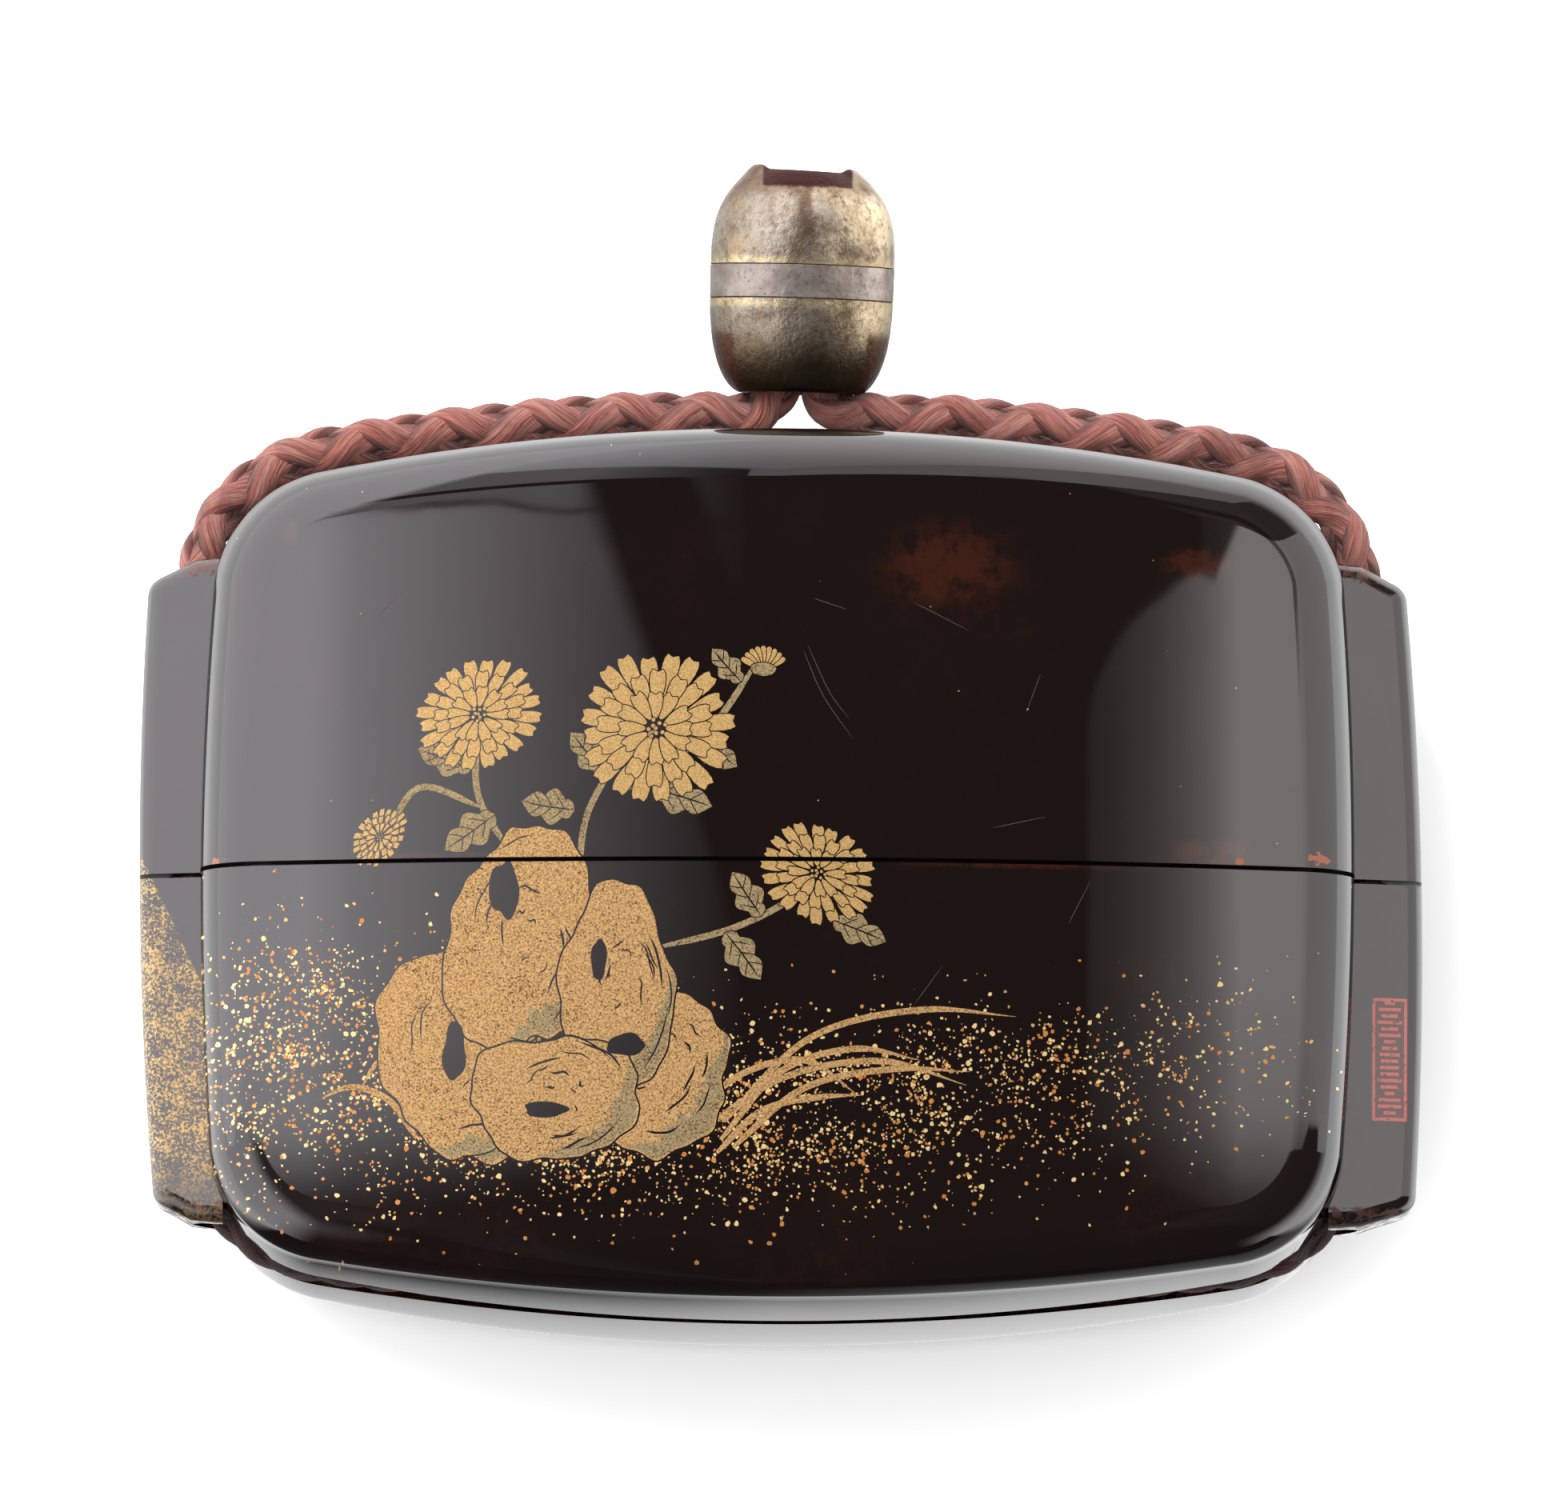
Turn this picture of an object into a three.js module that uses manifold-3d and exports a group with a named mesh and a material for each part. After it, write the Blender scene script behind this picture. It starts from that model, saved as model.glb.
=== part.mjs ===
// A low inro: a hollow lacquered case in two sections, strung on a silk cord with a brass bead.
// Millimetres. X runs across the case, Y from its base to the bead and Z up out of its front,
// because the case lies on its back. The origin is under the case's middle, where it rests.
import * as THREE from "three";
import { mergeVertices } from "three/addons/utils/BufferGeometryUtils.js";
import Module from "manifold-3d";

const wasm = await Module();
wasm.setup();

// Outline of the case, seen from the front
const HALF_WIDTH = 37.9;
const HALF_HEIGHT = 29.3;
const RISE = 0.3; // how far the outline's middle is above the seam, along Y
const END_ARC = 175; // radius of the arched top and base
const SIDE_ARC = 260; // radius of the nearly straight sides
const CORNER = 8.6;

// Depth of the case, from its middle plane
const HALF_DEPTH = 13;
const FACE_ARC_X = 150; // the faces curve mostly across the case
const FACE_ARC_Y = 500;
const BULGE = 0.1; // how far the edge swells at the middle plane
const TAPER = 0.6; // each end is that much shorter at the front, and longer at the back, than in the middle
const RIM_IN = 3.6; // width of the rolled rim
const RIM_DEEP = 2.9; // depth of the rolled rim
const FLAT_SPOT = 0.3; // taken off the back, so that the case lies still
const MID = HALF_DEPTH - FLAT_SPOT; // height of the middle plane

// Walls and the joint between the sections
const SEAM = 0.3;
const LID_WALL = { side: 2.3, face: 1.3 };
const RISER_OUT = { side: 2.6, face: 1.6 };
const BODY_WALL = { side: 3.5, face: 2.6 };
const CAVITY_RIM = { in: 2.4, deep: 2 };
const RISER_HEIGHT = 7;
const FLOOR_Y = -24;

// Runners: the fins at each side that the cord is threaded through
const RUNNER_HALF = 3;
const RUNNER_ROUND = 1;
const RUNNER = {
  root: 36.2,
  neck: 38.3,
  inner: 1.1, // the shoulder's distance in from the edge
  edge: 41.6,
  bow: 43,
  top: { root: 21.2, neck: 21, shoulder: 20, edge: 18.6 },
  base: { root: -22.9, neck: -22.7, shoulder: -21.9, edge: -20.5 },
};
const RUNNER_TRIM = { right: 0.05, left: -0.4 }; // the left one is a little narrower
const RUNNER_LEAN = 0.33; // how far both lean: their bases lie to the right, their tops to the left

// Bead, turned about an axis along Y, then leant forward about its lower mouth
const BEAD_X = 1.22;
const BEAD_Y = 40.2;
const BEAD_LEAN = 7; // degrees
const BEAD_TILT = 1.4; // degrees to the right
const BEAD_BORE = 3.05;
const BEAD_RADIUS = 6.08;
const BEAD_HALF = 7.6;
const BAND = { low: -1.5, high: 0.8, depth: 0.5, gap: 0.05 };

// Cord and the channel that it lies in
const CORD_DIAMETER = 2.7;
const CHANNEL = 1.65;
const CHANNEL_REACH = 3.2; // how far the groove's sides run outwards from the cord's centre
const STRAND = 1.42; // from the bead's axis to each strand

// Route of one half of the cord's centre line, in the middle plane: [x, y].
// The first points are measured from the bead's axis, the others from the case's.
const STRAND_ROUTE = [
  [STRAND, 45.3], [STRAND, 40.8], [STRAND, 36.8], [STRAND, 34.2], [1.66, 32.95], [2.36, 31.9], [3.4, 31.2],
];
const SHOULDER_ROUTE = [[5.6, 31], [10.5, 30.8], [16, 30.4], [21.5, 29.8], [26.5, 29.1], [30.4, 28.45]];
const BORE_ROUTE = [
  [33.8, 27.1], [36.3, 25], [37.75, 22.4], [38.4, 19.5], [38.5, 15], [38.5, 8], [38.5, 0],
  [38.5, -8], [38.5, -15], [38.2, -18.6], [37.3, -21],
];
const GROOVE_ROUTE = [
  [35.9, -22.95], [34, -24.5], [31.6, -25.4], [28.4, -25.85], [24, -26.15], [18, -26.7], [10, -27.25],
];
const BASE_POINT = [0, -27.5];

const lacquer = new THREE.MeshStandardMaterial({ color: 0x1b0f0d, roughness: 0.12, metalness: 0 });
const silk = new THREE.MeshStandardMaterial({ color: 0x964f47, roughness: 0.75, metalness: 0 });
const brass = new THREE.MeshStandardMaterial({ color: 0x8f7a52, roughness: 0.32, metalness: 1 });
const greyAlloy = new THREE.MeshStandardMaterial({ color: 0x6f645c, roughness: 0.4, metalness: 1 });

// A closed geometry as a solid that can be joined and cut
function solid(geometry) {
  const bare = geometry.clone();
  bare.deleteAttribute("normal");
  bare.deleteAttribute("uv");
  const merged = mergeVertices(bare, 1e-5);
  return new wasm.Manifold(new wasm.Mesh({
    numProp: 3,
    vertProperties: new Float32Array(merged.attributes.position.array),
    triVerts: new Uint32Array(merged.index.array),
  }));
}

// A solid as a named mesh
function meshOf(name, shape, material) {
  const { vertProperties, triVerts } = shape.getMesh();
  const geometry = new THREE.BufferGeometry();
  geometry.setAttribute("position", new THREE.BufferAttribute(vertProperties, 3));
  geometry.setIndex(new THREE.BufferAttribute(triVerts, 1));
  return named(name, geometry, material);
}

function named(name, geometry, material) {
  const mesh = new THREE.Mesh(geometry, material);
  mesh.name = name;
  return mesh;
}

// Where the corner's centre has to be for its arc to run smoothly into the side and the end
function cornerCentre() {
  const end = new THREE.Vector2(0, HALF_HEIGHT - END_ARC);
  const side = new THREE.Vector2(HALF_WIDTH - SIDE_ARC, 0);
  let [x, y] = [HALF_WIDTH - CORNER, HALF_HEIGHT - CORNER];
  for (let turn = 0; turn < 30; turn++) {
    y = end.y + Math.sqrt((END_ARC - CORNER) ** 2 - x ** 2);
    x = side.x + Math.sqrt((SIDE_ARC - CORNER) ** 2 - y ** 2);
  }
  return { corner: new THREE.Vector2(x, y), end, side };
}

// Stations round the outline: each has an arc's centre, its radius and the way out
function outlineStations() {
  const { corner, end, side } = cornerCentre();
  const fromSide = Math.atan2(corner.y - side.y, corner.x - side.x);
  const fromEnd = Math.atan2(corner.y - end.y, corner.x - end.x);
  const quarter = [];
  const addArc = (centre, radius, start, stop, steps) => {
    for (let i = 0; i < steps; i++) {
      const angle = start + ((stop - start) * i) / steps;
      quarter.push({ centre, radius, out: new THREE.Vector2(Math.cos(angle), Math.sin(angle)) });
    }
  };
  addArc(side, SIDE_ARC, 0, fromSide, 2);
  addArc(corner, CORNER, fromSide, fromEnd, 6);
  addArc(end, END_ARC, fromEnd, Math.PI / 2, 4);
  quarter.push({ centre: end, radius: END_ARC, out: new THREE.Vector2(0, 1) });

  const flipped = (list, sx, sy) => list.map(({ centre, radius, out }) => ({
    centre: new THREE.Vector2(centre.x * sx, centre.y * sy),
    radius,
    out: new THREE.Vector2(out.x * sx, out.y * sy),
  }));
  const last = quarter.length - 1;
  return [
    ...quarter.slice(0, last),
    ...flipped(quarter.slice(1), -1, 1).reverse(),
    ...flipped(quarter.slice(0, last), -1, -1),
    ...flipped(quarter.slice(1), 1, -1).reverse(),
  ];
}

const STATIONS = outlineStations();

function outlinePoint({ centre, radius, out }, inset) {
  return centre.clone().addScaledVector(out, radius - inset);
}

function faceHeight(point, halfDepth) {
  return halfDepth - point.x ** 2 / (2 * FACE_ARC_X) - point.y ** 2 / (2 * FACE_ARC_Y);
}

// The rings of one half of a cushion, from its face out to its wall: side is 1 for the front, -1 for the back
function halfRings(side, wall, rim, { shares, turns }) {
  const halfDepth = HALF_DEPTH - wall.face;
  const ring = (inset, lean, heightOf, share = 1) => STATIONS.map((station) => {
    const taper = side * TAPER * Math.abs(station.out.y) * lean;
    const point = outlinePoint(station, wall.side + inset + taper).multiplyScalar(share);
    return [point.x, point.y, side * heightOf(faceHeight(point, halfDepth))];
  });
  const rings = shares.map((share) => ring(BULGE + rim.in, 1, (face) => face, share));
  for (const turn of turns) {
    const angle = THREE.MathUtils.degToRad(90 - turn);
    const drop = rim.deep * (1 - Math.sin(angle));
    rings.push(ring(BULGE + rim.in * (1 - Math.cos(angle)), 1, (face) => face - drop));
  }
  rings.push(ring(BULGE / 4, 0.5, (face) => (face - rim.deep) / 2));
  return rings;
}

// The cushion shape of the case, in from its outer surface by a wall of side and face thickness
function cushion(wall, rim, detail = { shares: [0.5], turns: [0, 45, 90] }) {
  const middle = STATIONS.map((station) => [...outlinePoint(station, wall.side).toArray(), 0]);
  const back = halfRings(-1, wall, rim, detail).reverse();
  const pole = HALF_DEPTH - wall.face;
  return closedRings([...halfRings(1, wall, rim, detail), middle, ...back], [0, 0, pole], [0, 0, -pole]);
}

// A closed geometry through rings of points, from one pole to the other
function closedRings(rings, firstPole, lastPole) {
  const count = rings[0].length;
  const points = [firstPole, ...rings.flat(), lastPole];
  const end = points.length - 1;
  const faces = [];
  for (let i = 0; i < count; i++) {
    const next = (i + 1) % count;
    faces.push(0, 1 + i, 1 + next);
    for (let ring = 0; ring < rings.length - 1; ring++) {
      const [a, b] = [1 + ring * count + i, 1 + ring * count + next];
      faces.push(a, a + count, b, b, a + count, b + count);
    }
    const base = 1 + (rings.length - 1) * count;
    faces.push(end, base + next, base + i);
  }
  const geometry = new THREE.BufferGeometry();
  geometry.setAttribute("position", new THREE.Float32BufferAttribute(points.flat(), 3));
  geometry.setIndex(faces);
  geometry.translate(0, RISE, MID);
  return geometry;
}

// Everything between two heights along Y
function slab(low, high) {
  const reach = 4 * HALF_WIDTH;
  return solid(new THREE.BoxGeometry(reach, high - low, reach).translate(0, (low + high) / 2, 0));
}

// One runner: a flat fin with rounded edges and slanting ends, on the side +1 or -1
function runner(side) {
  const { root, neck, inner, top, base } = RUNNER;
  const trim = side > 0 ? RUNNER_TRIM.right : RUNNER_TRIM.left;
  const high = RUNNER.edge + trim - side * RUNNER_LEAN;
  const low = RUNNER.edge + trim + side * RUNNER_LEAN;
  const bow = RUNNER.bow + trim;
  const shape = new THREE.Shape();
  shape.moveTo(root, base.root);
  shape.lineTo(neck, base.neck);
  shape.lineTo(low - inner, base.shoulder);
  shape.quadraticCurveTo(low, base.shoulder + 0.4, low, base.edge);
  shape.quadraticCurveTo(bow, (top.edge + base.edge) / 2, high, top.edge);
  shape.quadraticCurveTo(high, top.shoulder - 0.4, high - inner, top.shoulder);
  shape.lineTo(neck, top.neck);
  shape.lineTo(root, top.root);
  const geometry = new THREE.ExtrudeGeometry(shape, {
    depth: 2 * (RUNNER_HALF - RUNNER_ROUND),
    curveSegments: 5,
    bevelThickness: RUNNER_ROUND,
    bevelSize: RUNNER_ROUND,
    bevelOffset: -RUNNER_ROUND,
    bevelSegments: 2,
  });
  geometry.translate(0, 0, MID - RUNNER_HALF + RUNNER_ROUND);
  return side > 0 ? solid(geometry) : solid(geometry).mirror([1, 0, 0]);
}

// A point of the middle plane, leant and tilted with the bead where it lies beyond the bead's lower mouth
function inPlace([x, y]) {
  const foot = BEAD_Y - BEAD_HALF;
  const beyond = Math.max(y - foot, 0);
  const lean = THREE.MathUtils.degToRad(BEAD_LEAN);
  const tilt = THREE.MathUtils.degToRad(BEAD_TILT);
  const along = beyond * Math.cos(lean);
  return new THREE.Vector3(
    x + along * Math.sin(tilt),
    y - beyond + along * Math.cos(tilt),
    MID + beyond * Math.sin(lean),
  );
}

function mirrored(points, axis = 0) {
  return points.map(([x, y]) => [2 * axis - x, y]).reverse();
}

// A section swept along points given in the middle plane
function swept(section, points, steps) {
  const path = new THREE.CatmullRomCurve3(points.map(inPlace), false, "centripetal");
  return new THREE.ExtrudeGeometry(section, { steps, extrudePath: path, curveSegments: 1 });
}

function roundSection(radius, sides) {
  const corners = Array.from({ length: sides }, (_, i) => {
    const angle = (2 * Math.PI * (i + 0.5)) / sides;
    return new THREE.Vector2(radius * Math.cos(angle), radius * Math.sin(angle));
  });
  return new THREE.Shape(corners);
}

// The cord's way through both runners and round the base, as a solid to cut away
function cordChannel() {
  const right = [...BORE_ROUTE, ...GROOVE_ROUTE];
  const round = solid(swept(roundSection(CHANNEL, 10), [...right, BASE_POINT, ...mirrored(right)], 64));
  const open = [...GROOVE_ROUTE, BASE_POINT, ...mirrored(GROOVE_ROUTE)];
  const slot = new THREE.Shape();
  slot.moveTo(-CHANNEL, 0);
  slot.lineTo(CHANNEL, 0);
  slot.lineTo(CHANNEL, CHANNEL_REACH);
  slot.lineTo(-CHANNEL, CHANNEL_REACH);
  return round.add(solid(swept(slot, open, 30)));
}

// The whole outer form of the case, without the hollow
function caseForm() {
  const fine = { shares: [0.2, 0.45, 0.72], turns: [0, 22.5, 45, 67.5, 90] };
  const outer = solid(cushion({ side: 0, face: 0 }, { in: RIM_IN, deep: RIM_DEEP }, fine));
  const reach = 4 * HALF_WIDTH;
  const above = solid(new THREE.BoxGeometry(reach, reach, reach).translate(0, 0, reach / 2));
  return outer.add(runner(1)).add(runner(-1)).subtract(cordChannel()).intersect(above);
}

function buildLid(form) {
  const hollow = solid(cushion(LID_WALL, CAVITY_RIM));
  return form.subtract(hollow).intersect(slab(SEAM / 2, 2 * HALF_HEIGHT));
}

function buildBody(form) {
  const hollow = solid(cushion(BODY_WALL, CAVITY_RIM)).intersect(slab(FLOOR_Y, 2 * HALF_HEIGHT));
  const riser = solid(cushion(RISER_OUT, CAVITY_RIM)).intersect(slab(-2, RISER_HEIGHT));
  return form.intersect(slab(-2 * HALF_HEIGHT, -SEAM / 2)).add(riser).subtract(hollow);
}

function buildCord() {
  const strand = STRAND_ROUTE.map(([x, y]) => [BEAD_X + x, y]);
  const right = [...strand, ...SHOULDER_ROUTE, ...BORE_ROUTE, ...GROOVE_ROUTE];
  const left = mirrored([...SHOULDER_ROUTE, ...BORE_ROUTE, ...GROOVE_ROUTE]);
  const route = [...right, BASE_POINT, ...left, ...mirrored(strand, BEAD_X)];
  return swept(roundSection(CORD_DIAMETER / 2, 8), route, 78);
}

// The bead's profile, from its flared lower mouth round the outside and back: [radius, height]
function beadProfile() {
  const floor = BEAD_RADIUS - BAND.depth;
  return [
    [3.95, -7.45], [4.2, -BEAD_HALF], [4.65, -7.3], [5.25, -6.4], [5.75, -4.7], [6, -2.7],
    [6.05, BAND.low], [floor, BAND.low], [floor, BAND.high], [6.08, BAND.high],
    [6.02, 2.8], [5.8, 4.8], [5.3, 6.3], [4.5, 7.25], [3.6, BEAD_HALF], [BEAD_BORE, 7.3],
    [BEAD_BORE, -6.1], [3.5, -6.85], [3.95, -7.45],
  ];
}

function bandProfile() {
  const { low, high, depth, gap } = BAND;
  const inner = BEAD_RADIUS - depth + gap;
  return [[inner, low + gap], [6.05, low + gap], [6.08, high - gap], [inner, high - gap], [inner, low + gap]];
}

function turned(profile) {
  const points = profile.map(([radius, height]) => new THREE.Vector2(radius, BEAD_HALF + height));
  return new THREE.LatheGeometry(points, 24)
    .rotateX(THREE.MathUtils.degToRad(BEAD_LEAN))
    .rotateZ(-THREE.MathUtils.degToRad(BEAD_TILT))
    .translate(BEAD_X, BEAD_Y - BEAD_HALF, MID);
}

const form = caseForm();
const inro = new THREE.Group();
inro.add(meshOf("lid", buildLid(form), lacquer));
inro.add(meshOf("body", buildBody(form), lacquer));
inro.add(named("cord", buildCord(), silk));
inro.add(named("ojime_bead", turned(beadProfile()), brass));
inro.add(named("ojime_band", turned(bandProfile()), greyAlloy));

export default inro;
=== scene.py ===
# The looks of a low, wide inro: lacquered lid and body, silk cord, brass ojime bead and its band.
# Lengths are in millimetres until a mesh is made, and then in metres, in the frame's own axes.
import math

import bpy
import numpy as np
from mathutils import Matrix, Vector, geometry


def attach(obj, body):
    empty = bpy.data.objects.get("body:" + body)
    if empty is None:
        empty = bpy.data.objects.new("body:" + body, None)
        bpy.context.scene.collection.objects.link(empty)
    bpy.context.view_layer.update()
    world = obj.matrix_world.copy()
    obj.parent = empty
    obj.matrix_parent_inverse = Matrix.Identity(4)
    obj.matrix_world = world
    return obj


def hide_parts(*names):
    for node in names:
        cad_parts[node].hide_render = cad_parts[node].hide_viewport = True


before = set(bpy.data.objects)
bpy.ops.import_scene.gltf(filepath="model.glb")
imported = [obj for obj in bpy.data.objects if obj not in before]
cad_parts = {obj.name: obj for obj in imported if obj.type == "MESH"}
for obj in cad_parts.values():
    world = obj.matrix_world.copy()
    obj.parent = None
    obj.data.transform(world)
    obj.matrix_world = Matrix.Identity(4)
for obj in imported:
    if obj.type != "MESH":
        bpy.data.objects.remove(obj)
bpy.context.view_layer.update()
MM = 0.001

# ---------------------------------------------------------------- sizes of the solids
HALF_WIDTH, HALF_HEIGHT, RISE = 37.9, 29.3, 0.3
END_ARC, SIDE_ARC, CORNER = 175.0, 260.0, 8.6
HALF_DEPTH, FACE_ARC_X, FACE_ARC_Y = 13.0, 150.0, 500.0
BULGE, TAPER, FLAT_SPOT = 0.1, 0.6, 0.3
RIM_IN, RIM_DEEP = 3.6, 2.9
MID = HALF_DEPTH - FLAT_SPOT

SEAM = 0.3
LID_WALL, RISER_OUT, BODY_WALL = (2.3, 1.3), (2.6, 1.6), (3.5, 2.6)
CAVITY_RIM = (2.4, 2.0)
RISER_HEIGHT, FLOOR_Y = 7.0, -24.0

BEAD_X, BEAD_Y, BEAD_LEAN, BEAD_TILT = 1.22, 40.2, math.radians(7), math.radians(1.4)
RUNNER_EDGE, RUNNER_BOW, RUNNER_TRIM, RUNNER_LEAN, RUNNER_FALL = 41.6, 43.0, {1: 0.05, -1: -0.4}, 0.33, 0.235
BEAD_BORE, BEAD_RADIUS, BEAD_HALF = 3.05, 6.08, 7.6
BAND_LOW, BAND_HIGH, BAND_SEAT = -1.5, 0.8, 5.58

CHANNEL, CHANNEL_REACH = 1.65, 3.2
STRAND_ROUTE = [(1.3, 45.3), (1.3, 40.8), (1.27, 36.8), (1.2, 34.2), (1.42, 33.0), (2.1, 31.95), (3.15, 31.2)]
SHOULDER_ROUTE = [(5.6, 31.05), (10.5, 31.0), (16, 30.55), (21.5, 29.95), (26.5, 29.25), (30.4, 28.5)]
BORE_ROUTE = [(33.8, 27.1), (36.3, 25), (37.75, 22.4), (38.4, 19.5), (38.5, 15), (38.5, 8), (38.5, 0),
              (38.5, -8), (38.5, -15), (38.2, -18.6), (37.3, -21)]
GROOVE_ROUTE = [(35.9, -22.95), (34, -24.5), (31.6, -25.4), (28.4, -25.85), (24, -26.15), (18, -26.7),
                (10, -27.25)]
BASE_POINT = [(0, -27.5)]

LACQUER, RUNNER_SKIN, INSIDE, GOLD_BRIGHT, GOLD_MAT, GOLD_GREEN, INK, SCRATCH = range(8)  # the case's skins

rng = np.random.default_rng(7)


# ---------------------------------------------------------------- camera
TILT, ROLL, DISTANCE = math.radians(7.6), math.radians(0.32), 1500.0
VIEW_WIDTH = 103.158  # how much is seen from side to side, at the case
CASE_AT = (-0.4316, -8.5526)  # where the middle of the seam is seen, from the middle of the view


def make_camera():
    """From a little below the case's front, far off, with the case low in the view."""
    away = Vector((0, -math.sin(TILT), math.cos(TILT)))
    right = Vector((1, 0, 0))
    up = away.cross(right)
    dx, dy = CASE_AT
    c, s = math.cos(ROLL), math.sin(ROLL)
    target = -((c * dx - s * dy) * right + (s * dx + c * dy) * up)
    target -= away * (target.z / away.z)
    target.z = MID
    data = bpy.data.cameras.new("camera")
    data.sensor_width = 36
    data.lens = 36 * DISTANCE / VIEW_WIDTH
    data.clip_start, data.clip_end = 0.05, 20
    camera = bpy.data.objects.new("camera", data)
    across, over = c * right + s * up, c * up - s * right
    camera.matrix_world = Matrix.Translation((target + away * DISTANCE) * MM) @ Matrix(
        (across, over, away)).transposed().to_4x4()
    bpy.context.scene.collection.objects.link(camera)
    bpy.context.scene.camera = camera


make_camera()


# ---------------------------------------------------------------- nodes
class Wire:
    """A node's output, which signs and brackets turn into further Math nodes."""

    def __init__(self, nodes, socket):
        self.nodes, self.socket = nodes, socket

    def __abs__(self):
        return self.nodes.math("ABSOLUTE", self)

    def __gt__(self, other):
        return self.nodes.math("GREATER_THAN", self, other)

    def __lt__(self, other):
        return self.nodes.math("LESS_THAN", self, other)

    def __pow__(self, other):
        return self.nodes.math("POWER", self, other)


def add_sign(name, operation):
    setattr(Wire, f"__{name}__", lambda self, other: self.nodes.math(operation, self, other))
    setattr(Wire, f"__r{name}__", lambda self, other: self.nodes.math(operation, other, self))


for sign in (("add", "ADD"), ("sub", "SUBTRACT"), ("mul", "MULTIPLY"), ("truediv", "DIVIDE")):
    add_sign(*sign)


def most(wire, other):
    return wire.nodes.math("MAXIMUM", wire, other)


def least(wire, other):
    return wire.nodes.math("MINIMUM", wire, other)


def exponent(wire):
    return wire.nodes.math("EXPONENT", wire)


class Nodes:
    """Short ways to wire a node tree."""

    def __init__(self, tree):
        self.tree = tree
        tree.nodes.clear()

    def new(self, kind, inputs=None, **settings):
        node = self.tree.nodes.new(kind)
        for name, value in settings.items():
            setattr(node, name, value)
        for name, value in (inputs or {}).items():
            socket = node.inputs[name]
            if isinstance(value, Wire):
                self.tree.links.new(value.socket, socket)
            elif isinstance(value, tuple) and len(value) == 3 and socket.type == "RGBA":
                socket.default_value = (*value, 1)
            elif value is not None:
                socket.default_value = value
        return node

    def take(self, output, kind, inputs=None, **settings):
        """One output of a new node."""
        return Wire(self, self.new(kind, inputs, **settings).outputs[output])

    def parts(self, kind, whole):
        """All outputs of a new node with one input."""
        return [Wire(self, output) for output in self.new(kind, {0: whole}).outputs]

    def math(self, operation, a, b=None):
        return self.take(0, "ShaderNodeMath", {0: a, 1: b}, operation=operation)

    def ramp(self, value, low, high, to_low=0.0, to_high=1.0):
        return self.take(0, "ShaderNodeMapRange", {"Value": value, "From Min": low, "From Max": high,
                                                   "To Min": to_low, "To Max": to_high},
                         interpolation_type="SMOOTHSTEP")

    def mix(self, factor, a, b):
        return self.take(2, "ShaderNodeMix", {0: factor, 6: a, 7: b}, data_type="RGBA")

    def blend(self, factor, a, b):
        return self.take(0, "ShaderNodeMix", {0: factor, 2: a, 3: b}, data_type="FLOAT")

    def noise(self, where, scale, detail=2.0, rough=0.5, out="Fac"):
        return self.take(out, "ShaderNodeTexNoise", {"Vector": where, "Scale": scale, "Detail": detail,
                                                     "Roughness": rough})

    def cells(self, where, scale):
        """The distance to the nearest of many scattered points, and that point's own colour."""
        node = self.new("ShaderNodeTexVoronoi", {"Vector": where, "Scale": scale})
        return Wire(self, node.outputs["Distance"]), Wire(self, node.outputs["Color"])

    def spot(self):
        return self.take("Object", "ShaderNodeTexCoord")

    def millimetres(self):
        return self.take(0, "ShaderNodeVectorMath", {0: self.spot(), 1: (1000.0,) * 3}, operation="MULTIPLY")

    def scaled(self, where, factors, shift=(0, 0, 0)):
        return self.take(0, "ShaderNodeMapping", {"Vector": where, "Scale": factors, "Location": shift})

    def axes(self, where):
        return self.parts("ShaderNodeSeparateXYZ", where)

    def bump(self, height, distance, strength):
        return self.take(0, "ShaderNodeBump", {"Height": height, "Distance": distance, "Strength": strength})

    def surface(self, **inputs):
        named = {name.replace("_", " "): value for name, value in inputs.items()}
        self.new("ShaderNodeOutputMaterial", {"Surface": self.take(0, "ShaderNodeBsdfPrincipled", named)})


def unit(rows):
    return rows / np.linalg.norm(rows, axis=1, keepdims=True)


def material(name):
    made = bpy.data.materials.new(name)
    made.use_nodes = True
    return made, Nodes(made.node_tree)


# ---------------------------------------------------------------- outline and cushion surface
SETTLING_ROUNDS = 30


def corner_centre():
    """Centre of the corner arc that runs on smoothly into the end and side arcs."""
    end_y, side_x = HALF_HEIGHT - END_ARC, HALF_WIDTH - SIDE_ARC
    x, y = HALF_WIDTH - CORNER, HALF_HEIGHT - CORNER
    for _ in range(SETTLING_ROUNDS):
        y = end_y + math.sqrt((END_ARC - CORNER) ** 2 - x * x)
        x = side_x + math.sqrt((SIDE_ARC - CORNER) ** 2 - y * y)
    return x, y


CORNER_X, CORNER_Y = corner_centre()
END_Y, SIDE_X = HALF_HEIGHT - END_ARC, HALF_WIDTH - SIDE_ARC
FROM_SIDE = math.atan2(CORNER_Y, CORNER_X - SIDE_X)
FROM_END = math.atan2(CORNER_Y - END_Y, CORNER_X)


def stations(side_steps, corner_steps, end_steps):
    """Rows of arc centre x and y, radius and angle, once round the outline."""
    quarter = []
    for cx, cy, radius, start, stop, steps in (
            (SIDE_X, 0, SIDE_ARC, 0, FROM_SIDE, side_steps),
            (CORNER_X, CORNER_Y, CORNER, FROM_SIDE, FROM_END, corner_steps),
            (0, END_Y, END_ARC, FROM_END, math.pi / 2, end_steps)):
        for i in range(steps):
            quarter.append((cx, cy, radius, start + (stop - start) * i / steps))
    quarter = np.array(quarter + [(0, END_Y, END_ARC, math.pi / 2)])
    left = quarter[::-1] * (-1, 1, 1, -1) + (0, 0, 0, math.pi)
    upper = np.vstack([quarter, left[1:]])
    lower = upper[::-1] * (1, -1, 1, -1)
    return np.vstack([upper, lower[1:-1]])


FINE = stations(9, 22, 26)
PLAIN = stations(3, 8, 6)


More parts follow.
